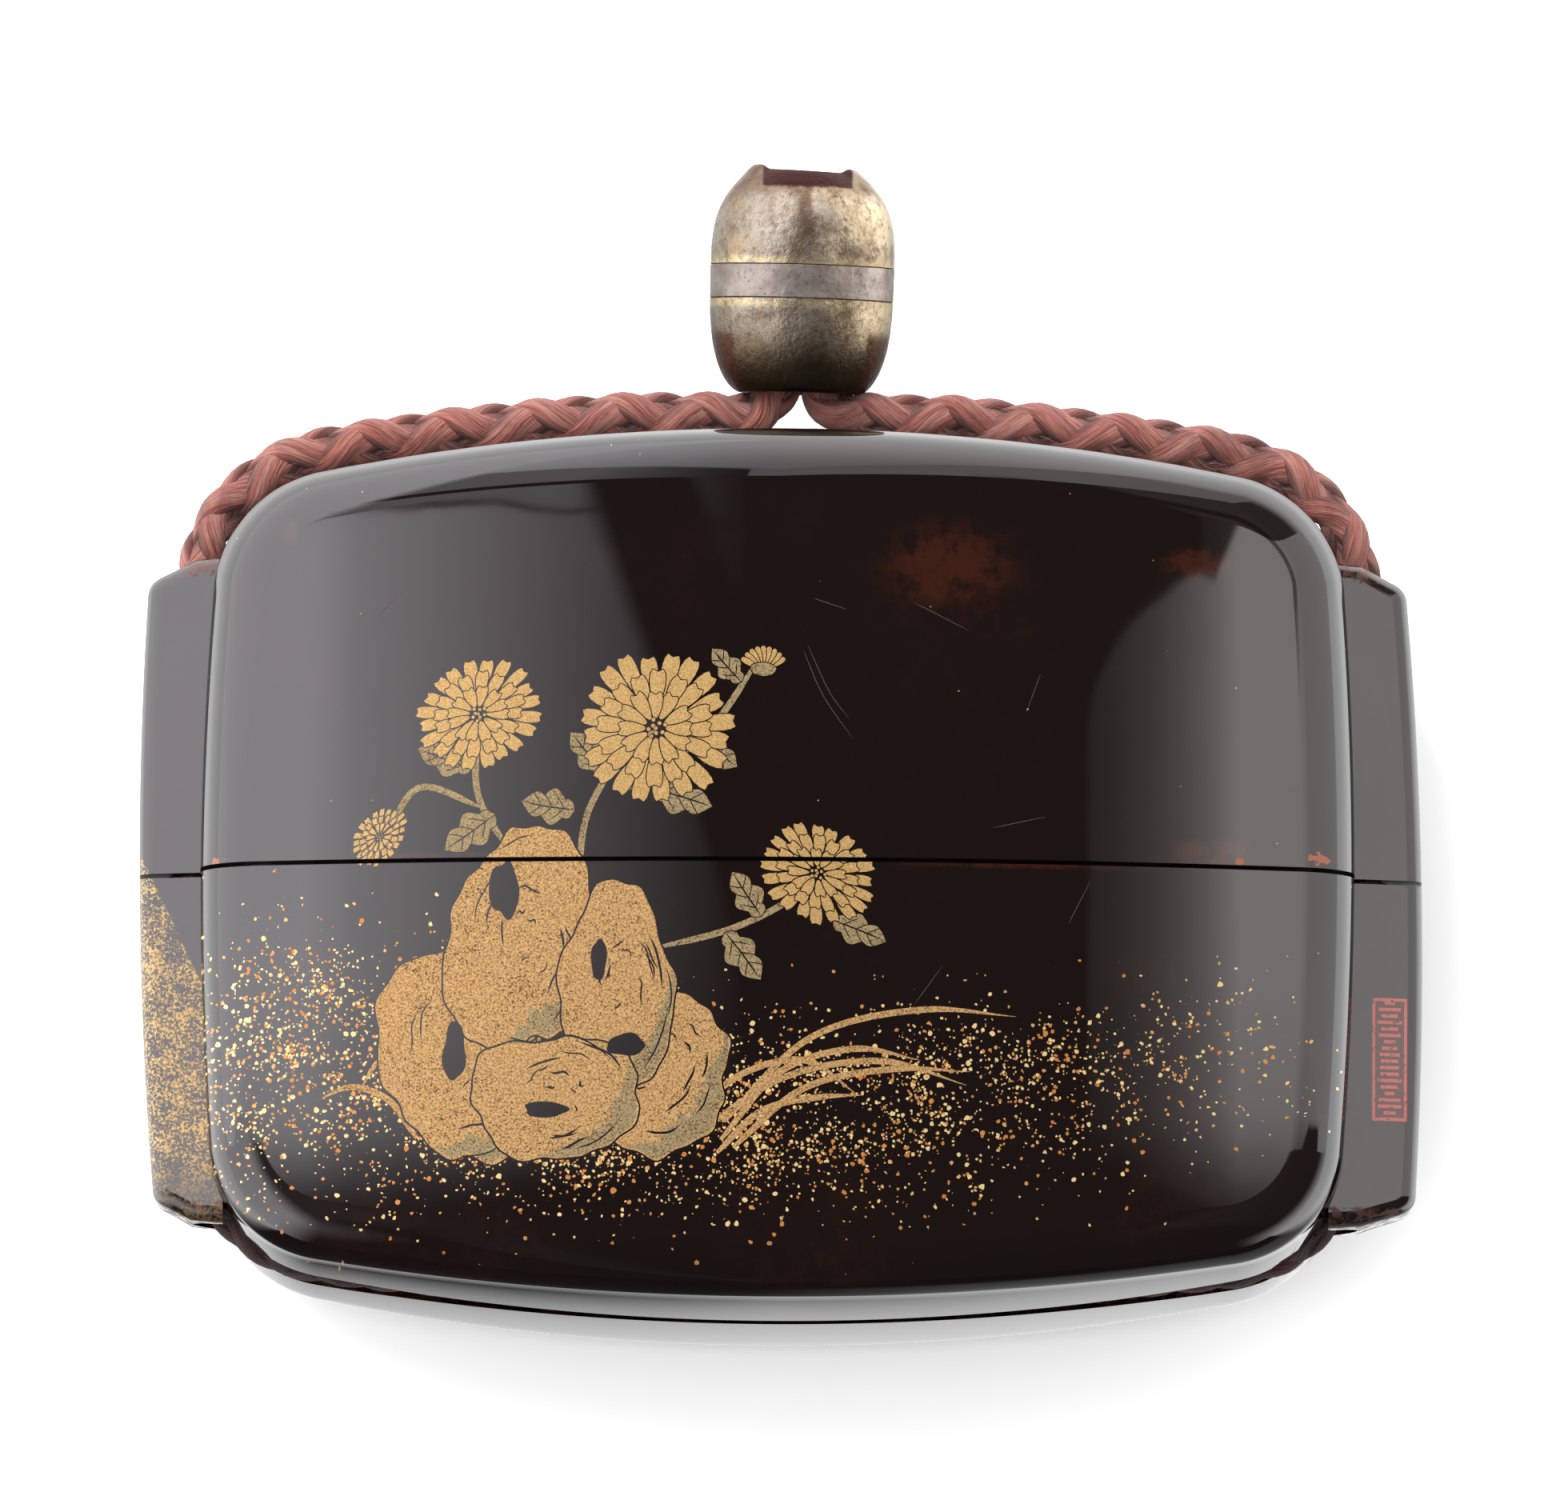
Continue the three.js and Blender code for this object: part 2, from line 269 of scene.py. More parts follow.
def face_height(x, y, half_depth=HALF_DEPTH):
    return half_depth - x ** 2 / (2 * FACE_ARC_X) - y ** 2 / (2 * FACE_ARC_Y)


def on_cushion(rows, s, side, wall=(0, 0), rim=(RIM_IN, RIM_DEEP)):
    """Points of a cushion, from its middle. s goes 0 to 1 over the rolled rim and 1 to 2 down the wall."""
    cx, cy, radius, angle = rows.T
    turn = (1 - np.minimum(s, 1)) * math.pi / 2
    k = np.clip(2 - s, 0, 1)
    inset = np.where(s < 1, BULGE + rim[0] * (1 - np.cos(turn)), BULGE * k * k)
    inset = inset + side * TAPER * np.abs(np.sin(angle)) * k + wall[0]
    x, y = cx + np.cos(angle) * (radius - inset), cy + np.sin(angle) * (radius - inset)
    face = face_height(x, y, HALF_DEPTH - wall[1])
    z = np.where(s < 1, face - rim[1] * (1 - np.sin(turn)), (face - rim[1]) * k)
    return np.stack([x, y, side * z], axis=-1)


def cushion_normals(points):
    """The outer cushion's own normals at points given from its middle."""
    x, y, z = points.T
    side = np.where(z >= 0, 1.0, -1.0)
    ax, ay = np.abs(x), np.abs(y)
    on_side = np.arctan2(ay, ax - SIDE_X) < FROM_SIDE
    on_end = np.arctan2(ay - END_Y, ax) > FROM_END
    cx = np.where(on_side, SIDE_X, np.where(on_end, 0, CORNER_X))
    cy = np.where(on_side, 0, np.where(on_end, END_Y, CORNER_Y))
    radius = np.where(on_side, SIDE_ARC, np.where(on_end, END_ARC, CORNER))
    angle = np.arctan2(ay - cy, ax - cx)
    inset = radius - np.hypot(ax - cx, ay - cy)
    face = face_height(x, y)
    rows = np.stack([cx, cy, radius, angle], axis=-1)
    flat = np.stack([x / FACE_ARC_X, y / FACE_ARC_Y, side], axis=-1)
    own = inset - side * TAPER * np.abs(np.sin(angle))
    cos_turn = np.clip(1 - (own - BULGE) / RIM_IN, 0, 1)
    sin_turn = np.clip(1 - (face - np.abs(z)) / RIM_DEEP, 0, 1)
    s = 1 - np.arctan2(sin_turn, cos_turn) / (math.pi / 2)
    k = np.clip(np.abs(z) / (face - RIM_DEEP), 0, 1)
    s = np.where(np.abs(z) < face - RIM_DEEP - 1e-4, 2 - k, s)
    s = np.clip(s, 1e-3, 2 - 1e-3)
    step = 1e-4
    d_s = on_cushion(rows, s + step, side) - on_cushion(rows, s - step, side)
    turned = np.stack([cx, cy, radius, angle + step / 10], axis=-1)
    back = np.stack([cx, cy, radius, angle - step / 10], axis=-1)
    d_a = on_cushion(turned, s, side) - on_cushion(back, s, side)
    n = np.cross(d_s, d_a) * side[:, None]
    n *= np.stack([np.where(x < 0, -1, 1), np.where(y < 0, -1, 1), np.ones_like(x)], axis=-1)
    outwards = np.sign(np.einsum("ij,ij->i", n, np.stack([x, y, 3 * z], axis=-1)))
    n *= np.where(outwards == 0, 1, outwards)[:, None]
    n = np.where((own >= BULGE + RIM_IN - 1e-4)[:, None], flat, n)
    return unit(n)


# ---------------------------------------------------------------- mesh building
class Soup:
    """Points and faces gathered from many patches, then welded."""

    def __init__(self):
        self.points, self.faces, self.kinds, self.count = [], [], [], 0

    def add(self, points, faces, kind=0):
        self.points.append(np.asarray(points, float))
        self.faces += [[self.count + i for i in face] for face in faces]
        self.kinds += [kind] * len(faces) if isinstance(kind, int) else list(kind)
        self.count += len(points)

    def strip(self, rings, kind=0):
        count = len(rings[0])
        faces = []
        for r in range(len(rings) - 1):
            for i in range(count):
                a, b = r * count + i, r * count + (i + 1) % count
                faces.append((a, a + count, b + count, b))
        self.add(np.vstack(rings), faces, kind)

    def capped(self, rings, kind=0, order=1):
        """A strip with its two ends closed."""
        self.strip(rings, kind)
        around = list(range(len(rings[0])))
        self.add(rings[0], [around[::order]], kind)
        self.add(rings[-1], [around[::-order]], kind)

    def mesh(self, name, shift=(0, 0, 0)):
        points = np.vstack(self.points)
        _, first, inverse = np.unique(np.round(points, 5), axis=0, return_index=True, return_inverse=True)
        inverse = inverse.reshape(-1)
        faces, kinds = [], []
        for face, kind in zip(self.faces, self.kinds):
            corners = [int(inverse[i]) for i in face]
            corners = [c for i, c in enumerate(corners) if c != corners[i - 1]]
            if len(corners) > 2:
                faces.append(corners)
                kinds.append(kind)
        spots = points[first] + shift
        volume = sum(np.dot(spots[f[0]], np.cross(spots[f[i]], spots[f[i + 1]]))
                     for f in faces for i in range(1, len(f) - 1))
        if volume < 0:
            faces = [face[::-1] for face in faces]
        data = bpy.data.meshes.new(name)
        data.from_pydata((spots * MM).tolist(), [], faces)
        data.polygons.foreach_set("material_index", kinds)
        data.update()
        return data


def link(data, name=None):
    made = bpy.data.objects.new(name or data.name, data)
    bpy.context.scene.collection.objects.link(made)
    return made


def drop(obj):
    data = obj.data
    bpy.data.objects.remove(obj)
    bpy.data.meshes.remove(data)


def evaluated(obj):
    bpy.context.view_layer.update()
    source = obj.evaluated_get(bpy.context.evaluated_depsgraph_get())
    return bpy.data.meshes.new_from_object(source)


def combined(obj, other, operation):
    """obj joined with or cut by other, as the CAD does it."""
    change = obj.modifiers.new("change", "BOOLEAN")
    change.operation, change.solver, change.object = operation, "MANIFOLD", other
    result = evaluated(obj)
    obj.modifiers.clear()
    old, obj.data = obj.data, result
    bpy.data.meshes.remove(old)
    drop(other)
    return obj


def turns_round(outline, spots):
    """How many times an outline goes anticlockwise round each spot."""
    a, b = outline, np.roll(outline, -1, axis=0)
    x, y = spots[:, :1], spots[:, 1:]
    rising = (a[:, 1] <= y) & (b[:, 1] > y)
    falling = (a[:, 1] > y) & (b[:, 1] <= y)
    side = (b[:, 0] - a[:, 0]) * (y - a[:, 1]) - (x - a[:, 0]) * (b[:, 1] - a[:, 1])
    return (rising & (side > 0)).sum(1) - (falling & (side < 0)).sum(1)


def fill(boundary, pictures, spacing=1.5):
    """Triangles over a flat outline: points, faces and the top picture's kind for each face."""
    low, high = boundary.min(0), boundary.max(0)
    xs = np.arange(low[0] + spacing / 2, high[0], spacing)
    ys = np.arange(low[1] + spacing / 2, high[1], spacing * 0.866)
    grid = np.array([(x + (j % 2) * spacing / 2, y) for j, y in enumerate(ys) for x in xs])
    edge = np.roll(boundary, -1, axis=0) - boundary
    out = unit(np.stack([edge[:, 1], -edge[:, 0]], axis=-1))
    depth = np.einsum("gij,ij->gi", grid[:, None] - boundary[None], out).max(1)
    points, edges = [*boundary, *grid[depth < -spacing * 0.45]], []
    edges += [(i, (i + 1) % len(boundary)) for i in range(len(boundary))]
    for _, outline, _ in pictures:
        start, count = len(points), len(outline)
        points += list(outline)
        edges += [(start + i, start + (i + 1) % count) for i in range(count)]
    made = geometry.delaunay_2d_cdt([Vector(p) for p in points], edges, [], 0, 1e-5, False)
    spots = np.array([tuple(v) for v in made[0]])
    triangles = np.array([list(t) for t in made[2]])
    for corner in boundary:
        away = np.abs(spots - corner).sum(1)
        spots[np.argmin(away)] = corner
    middles = spots[triangles].mean(1)
    inside = turns_round(boundary, middles) != 0
    triangles, middles = triangles[inside], middles[inside]
    kinds = np.zeros(len(triangles), int)
    for kind, outline, hand in pictures:
        low, high = outline.min(0), outline.max(0)
        near = np.flatnonzero(((middles >= low) & (middles <= high)).all(1))
        if len(near):
            kinds[near[turns_round(outline, middles[near]) * hand > 0]] = kind
    return spots, triangles.tolist(), kinds.tolist()


def outer_form(front_pictures):
    """The whole outer cushion, with pictures let into its front."""
    soup = Soup()
    roll = np.linspace(0, 1, 15)
    down = np.linspace(1, 2, 7)
    for side, pictures in ((1, front_pictures), (-1, ())):
        rings = [on_cushion(FINE, np.full(len(FINE), s), side) for s in [*roll, *down[1:]]]
        if side < 0:
            rings = [ring[::-1] for ring in rings]
        soup.strip(rings)
        spots, triangles, kinds = fill(rings[0][:, :2] if side > 0 else rings[0][::-1, :2], pictures)
        z = side * face_height(spots[:, 0], spots[:, 1])
        if side < 0:
            triangles = [t[::-1] for t in triangles]
        soup.add(np.column_stack([spots, z]), triangles, kinds)
    return link(soup.mesh("form", (0, RISE, MID)))


def plain_cushion(wall):
    """A coarser closed cushion, for the hollow and the riser."""
    soup = Soup()
    for side in (1, -1):
        rings = [on_cushion(PLAIN, np.full(len(PLAIN), s), side, wall, CAVITY_RIM)
                 for s in (0, 0.17, 0.33, 0.5, 0.67, 0.83, 1, 1.5, 2)]
        inner = [rings[0] * (share, share, 0) for share in (0.02, 0.3, 0.6, 0.85)]
        for ring in inner:
            ring[:, 2] = side * face_height(ring[:, 0], ring[:, 1], HALF_DEPTH - wall[1])
        rings = inner + rings
        cap = list(range(len(PLAIN)))
        if side < 0:
            rings = [ring[::-1] for ring in rings]
        soup.strip(rings, INSIDE)
        soup.add(rings[0], [cap], INSIDE)
    return link(soup.mesh("cushion", (0, RISE, MID)))


def slab(low, high, bottom=-50):
    """A block across the whole case, between two heights."""
    corners = [(x, y, z) for z in (bottom, 50) for y in (low, high) for x in (-90, 90)]
    faces = [(0, 2, 3, 1), (4, 5, 7, 6), (0, 1, 5, 4), (2, 6, 7, 3), (0, 4, 6, 2), (1, 3, 7, 5)]
    soup = Soup()
    soup.add(corners, faces, INSIDE)
    return link(soup.mesh("cut"))


# ---------------------------------------------------------------- routes
def mirrored(points, axis=0.0):
    return [(2 * axis - x, y) for x, y in points][::-1]


def in_place(points):
    """Points of the middle plane, leant and tilted with the bead beyond its lower mouth."""
    points = np.asarray(points, float)
    beyond = np.maximum(points[:, 1] - (BEAD_Y - BEAD_HALF), 0)
    along = beyond * math.cos(BEAD_LEAN)
    return np.column_stack([points[:, 0] + along * math.sin(BEAD_TILT),
                            points[:, 1] - beyond + along * math.cos(BEAD_TILT),
                            MID + beyond * math.sin(BEAD_LEAN)])


def centripetal(points, per_span):
    """A centripetal Catmull-Rom curve through points."""
    points = np.asarray(points, float)
    ends = np.vstack([2 * points[0] - points[1], points, 2 * points[-1] - points[-2]])
    made = []
    for i in range(1, len(ends) - 2):
        p0, p1, p2, p3 = ends[i - 1:i + 3]
        t0, t1, t2 = (max(np.linalg.norm(b - a) ** 0.5, 1e-4) for a, b in ((p0, p1), (p1, p2), (p2, p3)))
        m1 = ((p1 - p0) / t0 - (p2 - p0) / (t0 + t1) + (p2 - p1) / t1) * t1
        m2 = ((p2 - p1) / t1 - (p3 - p1) / (t1 + t2) + (p3 - p2) / t2) * t1
        for t in np.linspace(0, 1, per_span, endpoint=False):
            made.append(p1 * (1 - 3 * t * t + 2 * t ** 3) + p2 * (3 * t * t - 2 * t ** 3)
                        + m1 * (t - 2 * t * t + t ** 3) + m2 * (t ** 3 - t * t))
    return np.array(made + [points[-1]])


def evenly(line, step):
    """The same line with points a step apart."""
    along = np.r_[0, np.cumsum(np.linalg.norm(np.diff(line, axis=0), axis=1))]
    wanted = np.linspace(0, along[-1], int(round(along[-1] / step)) + 1)
    return np.column_stack([np.interp(wanted, along, line[:, i]) for i in range(3)])


def frames(line):
    """Outward and forward directions along a line; the outward one stays in the middle plane."""
    tangent = unit(np.gradient(line, axis=0))
    outward = unit(np.cross(np.array([0, 0, 1.0]), tangent))
    return outward, np.cross(tangent, outward)


def swept(line, section):
    """A closed section of (outward, forward) points carried along a line, with its ends closed."""
    outward, forward = frames(line)
    section = np.asarray(section, float)
    rings = [line[i] + section[:, :1] * outward[i] + section[:, 1:] * forward[i] for i in range(len(line))]
    soup = Soup()
    soup.capped(rings, INSIDE)
    return link(soup.mesh("swept"))


strand = [(BEAD_X + x, y) for x, y in STRAND_ROUTE]
right_half = strand + SHOULDER_ROUTE + BORE_ROUTE + GROOVE_ROUTE
left_half = mirrored(SHOULDER_ROUTE + BORE_ROUTE + GROOVE_ROUTE) + mirrored(strand, BEAD_X)
cord_line = evenly(centripetal(in_place(right_half + BASE_POINT + left_half), 12), 0.25)
LOOSE_FIBRES = 1500
TUCK = 0.42  # how far the cord is pressed inwards, and back, round the lower corners


# ---------------------------------------------------------------- cord
PITCH, STRAND_WIDE, STRAND_DEEP, WEAVE_R, WEAVE_LIFT = 11.2, 1.0, 0.72, 0.62, 0.20
SECTION = np.radians([-84, -64, -44, -22, 0, 22, 44, 64, 84, 115, 180, 245])


def cord_bulk(line):
    """The cord is loose and full over the lid, tight in its bores and thin where the case grips it."""
    over_lid = np.clip((line[:, 1] - 24.0) / 4.0, 0, 1) * np.clip((34.0 - line[:, 1]) / 2.0, 0, 1)
    gripped = np.clip((-16.0 - line[:, 1]) / 5.0, 0, 1)
    return 1 + 0.12 * over_lid - 0.22 * gripped


def braid(line):
    """Four strands plaited round a line, and the loose fibres that stand off them."""
    along = np.r_[0, np.cumsum(np.linalg.norm(np.diff(line, axis=0), axis=1))]
    outward, forward = frames(line)
    soup, fibre = Soup(), []
    bulk = cord_bulk(line)
    count = len(SECTION)
    for index in range(4):
        hand = 1 if index < 2 else -1
        turn = hand * 2 * math.pi * along / PITCH + math.pi * (index % 2) + math.pi / 4
        lift = hand * np.cos(2 * (turn - math.pi / 4))
        wander = 0.03 * np.interp(along, np.arange(0, along[-1] + 9, 4.0),
                                  rng.normal(size=int(along[-1] / 4) + 3))
        r = (WEAVE_R + WEAVE_LIFT * lift + wander) * bulk
        radial = np.cos(turn)[:, None] * outward + np.sin(turn)[:, None] * forward
        around = -np.sin(turn)[:, None] * outward + np.cos(turn)[:, None] * forward
        wide = STRAND_WIDE * (1 + 0.06 * lift) * bulk
        rings = []
        for i in range(len(line)):
            middle = line[i] + radial[i] * r[i]
            across, deep = np.sin(SECTION) * wide[i], np.cos(SECTION) * STRAND_DEEP * bulk[i]
            deep = deep - 0.24 * (across / wide[i]) ** 2
            rings.append(middle + across[:, None] * around[i] + deep[:, None] * radial[i])
        soup.capped(rings, 0, -1)
        tone = rng.uniform(0.0, 1.0)
        marks = np.stack([np.repeat(along, count), np.tile(SECTION, len(line)),
                          np.full(count * len(line), tone + index)], axis=-1)
        fibre.append(marks)
        fibre += [marks[:count], marks[-count:]]
    body = np.vstack(fibre)
    for _ in range(LOOSE_FIBRES):
        i = rng.integers(20, len(line) - 20)
        turn = rng.uniform(0, 2 * math.pi)
        side = math.cos(turn) * outward[i] + math.sin(turn) * forward[i]
        run = (line[i + 1] - line[i]) / np.linalg.norm(line[i + 1] - line[i]) * rng.choice((-1, 1))
        size, thick = rng.uniform(0.6, 2.2), rng.uniform(0.007, 0.015)
        stand = rng.uniform(0.06, 0.26) * (1.9 if rng.random() < 0.12 else 1)
        away = np.cross(side, run)
        path = [line[i] + side * (1.18 * bulk[i] + stand * math.sin(math.pi * t * 0.72)) + run * size * t
                + away * 0.3 * size * t * t * rng.uniform(-1, 1) for t in np.linspace(0, 1, 5)]
        rings = []
        for k, p in enumerate(path):
            around = [side * math.cos(a) + away * math.sin(a) for a in (0, 2.1, 4.2)]
            rings.append(p + thick * (1 - 0.6 * k / 4) * np.array(around))
        soup.capped(rings, 0, -1)
        marks = np.tile([along[i], 0, 9 + rng.random()], (15, 1))
        body = np.vstack([body, marks, marks[:6]])
    data = bpy.data.meshes.new("silk_braid")
    data.from_pydata((np.vstack(soup.points) * MM).tolist(), [], soup.faces)
    fibre = data.attributes.new("fibre", "FLOAT_VECTOR", "POINT")
    fibre.data.foreach_set("vector", np.ascontiguousarray(body, np.float32).reshape(-1))
    data.shade_smooth()
    return link(data)


def silk():
    made, n = material("silk_cord")
    along, turn, tone = n.axes(n.take("Vector", "ShaderNodeAttribute", attribute_name="fibre"))
    spot = n.spot()

    def threads(run, turns, detail):
        place = {0: along * run, 1: turn * turns, 2: tone}
        return n.noise(n.take(0, "ShaderNodeCombineXYZ", place), 1.0, detail, 0.6)

    fine, medium, coarse = threads(0.9, 17.0, 2.0), threads(0.5, 6.0, 3.0), threads(0.22, 1.8, 2.0)
    soil = n.noise(spot, 260.0, 4.0, 0.65)
    # Thread noise: lighter and darker threads, the darker ones partly painted shade in the crevices between
    # threads.
    lit = fine * 0.5 + medium * 0.5
    colour = n.mix(n.ramp(lit, 0.34, 0.64), (0.24, 0.060, 0.050), (0.80, 0.300, 0.240))
    # Lighter coarse patches along the strands: painted highlight.
    colour = n.mix(n.ramp(coarse, 0.44, 0.72, 0, 0.55), colour, (0.90, 0.50, 0.42))
    colour = n.mix(n.ramp(soil, 0.46, 0.70, 0, 0.55), colour, (0.15, 0.035, 0.028))
    # Darker towards each strand's sides and back, where the strands meet: painted shade.
    edge = n.ramp(abs(turn), 0.85, 1.5, 0, 0.7)
    colour = n.mix(edge, colour, (0.085, 0.018, 0.014))
    colour = n.mix(n.ramp(tone, 8.5, 8.9), colour, (0.80, 0.40, 0.33))
    # Darker low down, round the lower corners and along the base, where the cord runs under the case: painted
    # shade.
    _, height, _ = n.axes(spot)
    colour = n.mix(n.ramp(height, -0.014, -0.020, 0, 0.93), colour, (0.030, 0.006, 0.005))
    relief = n.bump(lit + coarse * 0.6, 0.00026, 1.0)
    n.surface(Base_Color=colour, Roughness=0.7, Normal=relief, Sheen_Weight=0.35, Sheen_Roughness=0.4,
              Specular_IOR_Level=0.3)
    return made


tucked = cord_line.copy()
low_corner = np.clip((-17.0 - cord_line[:, 1]) / 4.0, 0, 1)
low_corner *= np.clip((np.abs(cord_line[:, 0]) - 22.0) / 8.0, 0, 1)
tucked[:, 0] -= np.sign(cord_line[:, 0]) * TUCK * low_corner
tucked[:, 1] += 0.5 * TUCK * low_corner
tucked[:, 2] -= TUCK * low_corner
cord = braid(tucked)
cord.data.materials.append(silk())
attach(cord, "root")
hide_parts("cord")


# ---------------------------------------------------------------- case
def runner(side):
    """A flat fin with rounded edges and slanting ends; its faces fall away a little outwards."""
    def bend(a, b, c, steps):
        return [tuple((1 - t) ** 2 * np.array(a) + 2 * t * (1 - t) * np.array(b) + t * t * np.array(c))
                for t in np.linspace(0, 1, steps, endpoint=False)]
    low, high = (RUNNER_EDGE + RUNNER_TRIM[side] + side * lean for lean in (RUNNER_LEAN, -RUNNER_LEAN))
    edge = [(36.2, -22.9), (38.3, -22.7)]
    edge += bend((low - 1.1, -21.9), (low, -21.5), (low, -20.5), 8)
    edge += bend((low, -20.5), (RUNNER_BOW + RUNNER_TRIM[side], -0.95), (high, 18.6), 24)
    edge += bend((high, 18.6), (high, 19.6), (high - 1.1, 20), 8)
    edge += [(high - 1.1, 20), (38.3, 21), (36.2, 21.2)]
    edge = np.array(edge)
    ahead = unit(np.roll(edge, -1, axis=0) - edge)
    normal = ahead + np.roll(ahead, 1, axis=0)
    normal = unit(np.stack([normal[:, 1], -normal[:, 0]], axis=-1))
    normal[[0, -1]] = ((0, -1), (0, 1))
    rings = []
    for z_side in (1, -1):
        part = []
        for turn in np.radians(np.linspace(90, 0, 7)):
            flat = edge - normal * (1 - math.cos(turn))
            flat[[0, -1], 0] = 36.2
            z = 2 + math.sin(turn) - RUNNER_FALL * (flat[:, 0] - 38.2)
            part.append(np.column_stack([side * flat[:, 0], flat[:, 1], MID + z_side * z]))
        rings += part if z_side > 0 else part[::-1]
    if side > 0:
        rings = [ring[::-1] for ring in rings]
    soup = Soup()
    soup.capped(rings, RUNNER_SKIN)
    return link(soup.mesh("runner"))


def cord_channel():
    right = BORE_ROUTE + GROOVE_ROUTE
    route = centripetal(in_place(right + BASE_POINT + mirrored(right)), 5)
    turns = np.linspace(0, 2 * math.pi, 20, endpoint=False)
    made = swept(route, np.column_stack([np.cos(turns), np.sin(turns)]) * CHANNEL)
    open_part = centripetal(in_place(GROOVE_ROUTE + BASE_POINT + mirrored(GROOVE_ROUTE)), 6)
    slot = swept(open_part, [(0, -CHANNEL), (0, CHANNEL), (-CHANNEL_REACH, CHANNEL),
                             (-CHANNEL_REACH, -CHANNEL)])
    return combined(made, slot, "UNION")


def read(items, key, width, kind=np.float32):
    values = np.empty(len(items) * width, kind)
    items.foreach_get(key, values)
    return values.reshape(-1, width)


def finish_case(obj, name):
    """The outer skin's own normals, flat ones on the faces of the fins, and smooth ones elsewhere."""
    obj.name = obj.data.name = name
    data = obj.data
    spots = read(data.vertices, "co", 3).astype(float) / MM
    normals = cushion_normals(spots - (0, RISE, MID))
    kinds, sizes = (read(data.polygons, key, 1, np.int32)[:, 0] for key in ("material_index", "loop_total"))
    loops = read(data.loops, "vertex_index", 1, np.int32)[:, 0]
    of_loop = np.repeat(kinds, sizes)
    outer = (of_loop != RUNNER_SKIN) & (of_loop != INSIDE)
    wanted = np.where(outer[:, None], normals[loops], 0.0)
    facing = read(data.polygons, "normal", 3)
    across = RUNNER_FALL / math.hypot(1, RUNNER_FALL)
    fin = (kinds == RUNNER_SKIN) & (np.abs(np.abs(facing[:, 0])
                                           - across) < 0.01) & (np.abs(facing[:, 1]) < 0.01)
    wanted = np.where(np.repeat(fin, sizes)[:, None], np.repeat(facing, sizes, axis=0), wanted)
    data.shade_smooth()
    data.set_sharp_from_angle(angle=math.radians(28))
    data.normals_split_custom_set(wanted.tolist())
    return obj


# ---------------------------------------------------------------- studio
FACE_TOP = 0.2325  # where the face's upper edge looks to, as a slope from straight above
MAT_GREY = (0.8, 0.8, 0.8)


def studio():
    """A white tent, open towards the case's base, with a dark gap overhead between two soft boxes.
    The lacquer mirrors it brighter than the mat surfaces are lit, as an overexposed backdrop is.
    gx and gy are slopes from straight above: the places where a level ceiling would be seen."""
    world = bpy.data.worlds.new("studio")
    bpy.context.scene.world = world
    world.use_nodes = True
    world.cycles.sampling_method = "NONE"
    n = Nodes(world.node_tree)
    x, y, z = n.axes(n.take("Generated", "ShaderNodeTexCoord"))
    flat = n.math("SQRT", most(1.0 - z * z, 1e-4))
    side_share, end_share = x / flat, y / flat
    height = n.math("ARCSINE", z) * 57.3
    above = most(z, 0.02)
    gx, gy = x / above, y / above
    wide = abs(gx)
    low_fade = n.ramp(gy, 0.022, 0.064, 0.06, 1.0) * n.ramp(gy, 0.05, 0.11, 0.84, 1.0)

    left = least(wide / 0.4, 1.04) ** 1.4 * 4.1
    left = left * (n.ramp(gx, -0.022, -0.036) * low_fade)
    left = left * n.ramp(wide, 0.40, 0.46, 1.0, 1.28)
    corner = n.ramp(wide, 0.42, 0.49)
    inward = 1.0 - corner
    upper = gy - wide * 0.055 - FACE_TOP
    beside = n.ramp(gx, -0.022, -0.036) * inward
    left = n.blend(n.ramp(upper, 0.0, 0.001) * beside, left, least(left, 1.7))
    thin_line = n.ramp(abs(upper), 0.0006, 0.0016, 0.85, 0.0)
    wide_line = n.ramp(abs(gy - wide - 0.12), 0.035, 0.065, 0.95, 0.0)
    left = left * (1.0 - most(thin_line, wide_line) * inward)

    beyond = least(most(gy - 0.175, 0.0), 0.06)
    edge = 0.287 + beyond * beyond * 32.0
    right = exponent((least(gx, 0.442) - 0.30) * 17.0) * 0.32
    right = right * n.ramp(gx, 0.45, 0.95, 1.0, 0.72)
    right = right * (n.ramp(gx - edge, -0.006, 0.008) * low_fade)
    over_limit = gy - (0.231 + most(gx - 0.42, 0.0) * 0.8)
    right = right * n.ramp(over_limit, 0.0, 0.006, 1.0, 0.1)
    ledge = gy - (0.262 + most(gx, 0.0) * 1.45)
    ledge = n.ramp(ledge, -0.006, 0.012, 0.0, 1.7) * (gx > -0.03)

    over = most(most(left, right), ledge) * (z > 0.0)
    turned = height + side_share * 22.0
    lean = n.blend(x > 0.0, 1.6, 2.4)
    main = n.ramp(gy - (0.445 + wide * lean), -0.05, 0.08)
    main = main * (z > 0.0)
    spread = (side_share + 0.33) / 0.35
    level = 3.8 + exponent(spread * spread * -1.0) * 1.5
    fall = n.ramp(turned, 10.0, 64.0, 1.0, 0.5)
    tent = most(main, n.ramp(turned, 16.0, 38.0, 1.0, 0.0)) * fall * level
    bright = most(over, tent)
    bright = bright * n.ramp(end_share, -0.93, -0.62)
    bright = most(bright, over * n.ramp(wide, 0.3, 0.6, 1.0, 0.0))
    arc_place = n.ramp(end_share, 0.31, 0.38) * n.ramp(side_share, 0.30, 0.45)
    arc = n.ramp(abs(height - 55.0), 2.0, 4.5, 0.7, 0.0) * arc_place
    bright = most(bright * (1.0 - arc), 0.09)

    soft = 0.80 + x * -0.30 + y * 0.42
    soft = most(soft, 0.2)
    mirrored_ray = n.take("Is Glossy Ray", "ShaderNodeLightPath")
    value = n.blend(mirrored_ray, soft, bright)
    tint = n.mix(n.ramp(x, -0.05, 0.05), (0.86, 0.835, 0.88), (0.98, 0.925, 0.915))
    colour = n.mix(mirrored_ray, MAT_GREY, tint)
    back = n.take(0, "ShaderNodeBackground", {"Strength": value, "Color": colour})
    n.new("ShaderNodeOutputWorld", {"Surface": back})


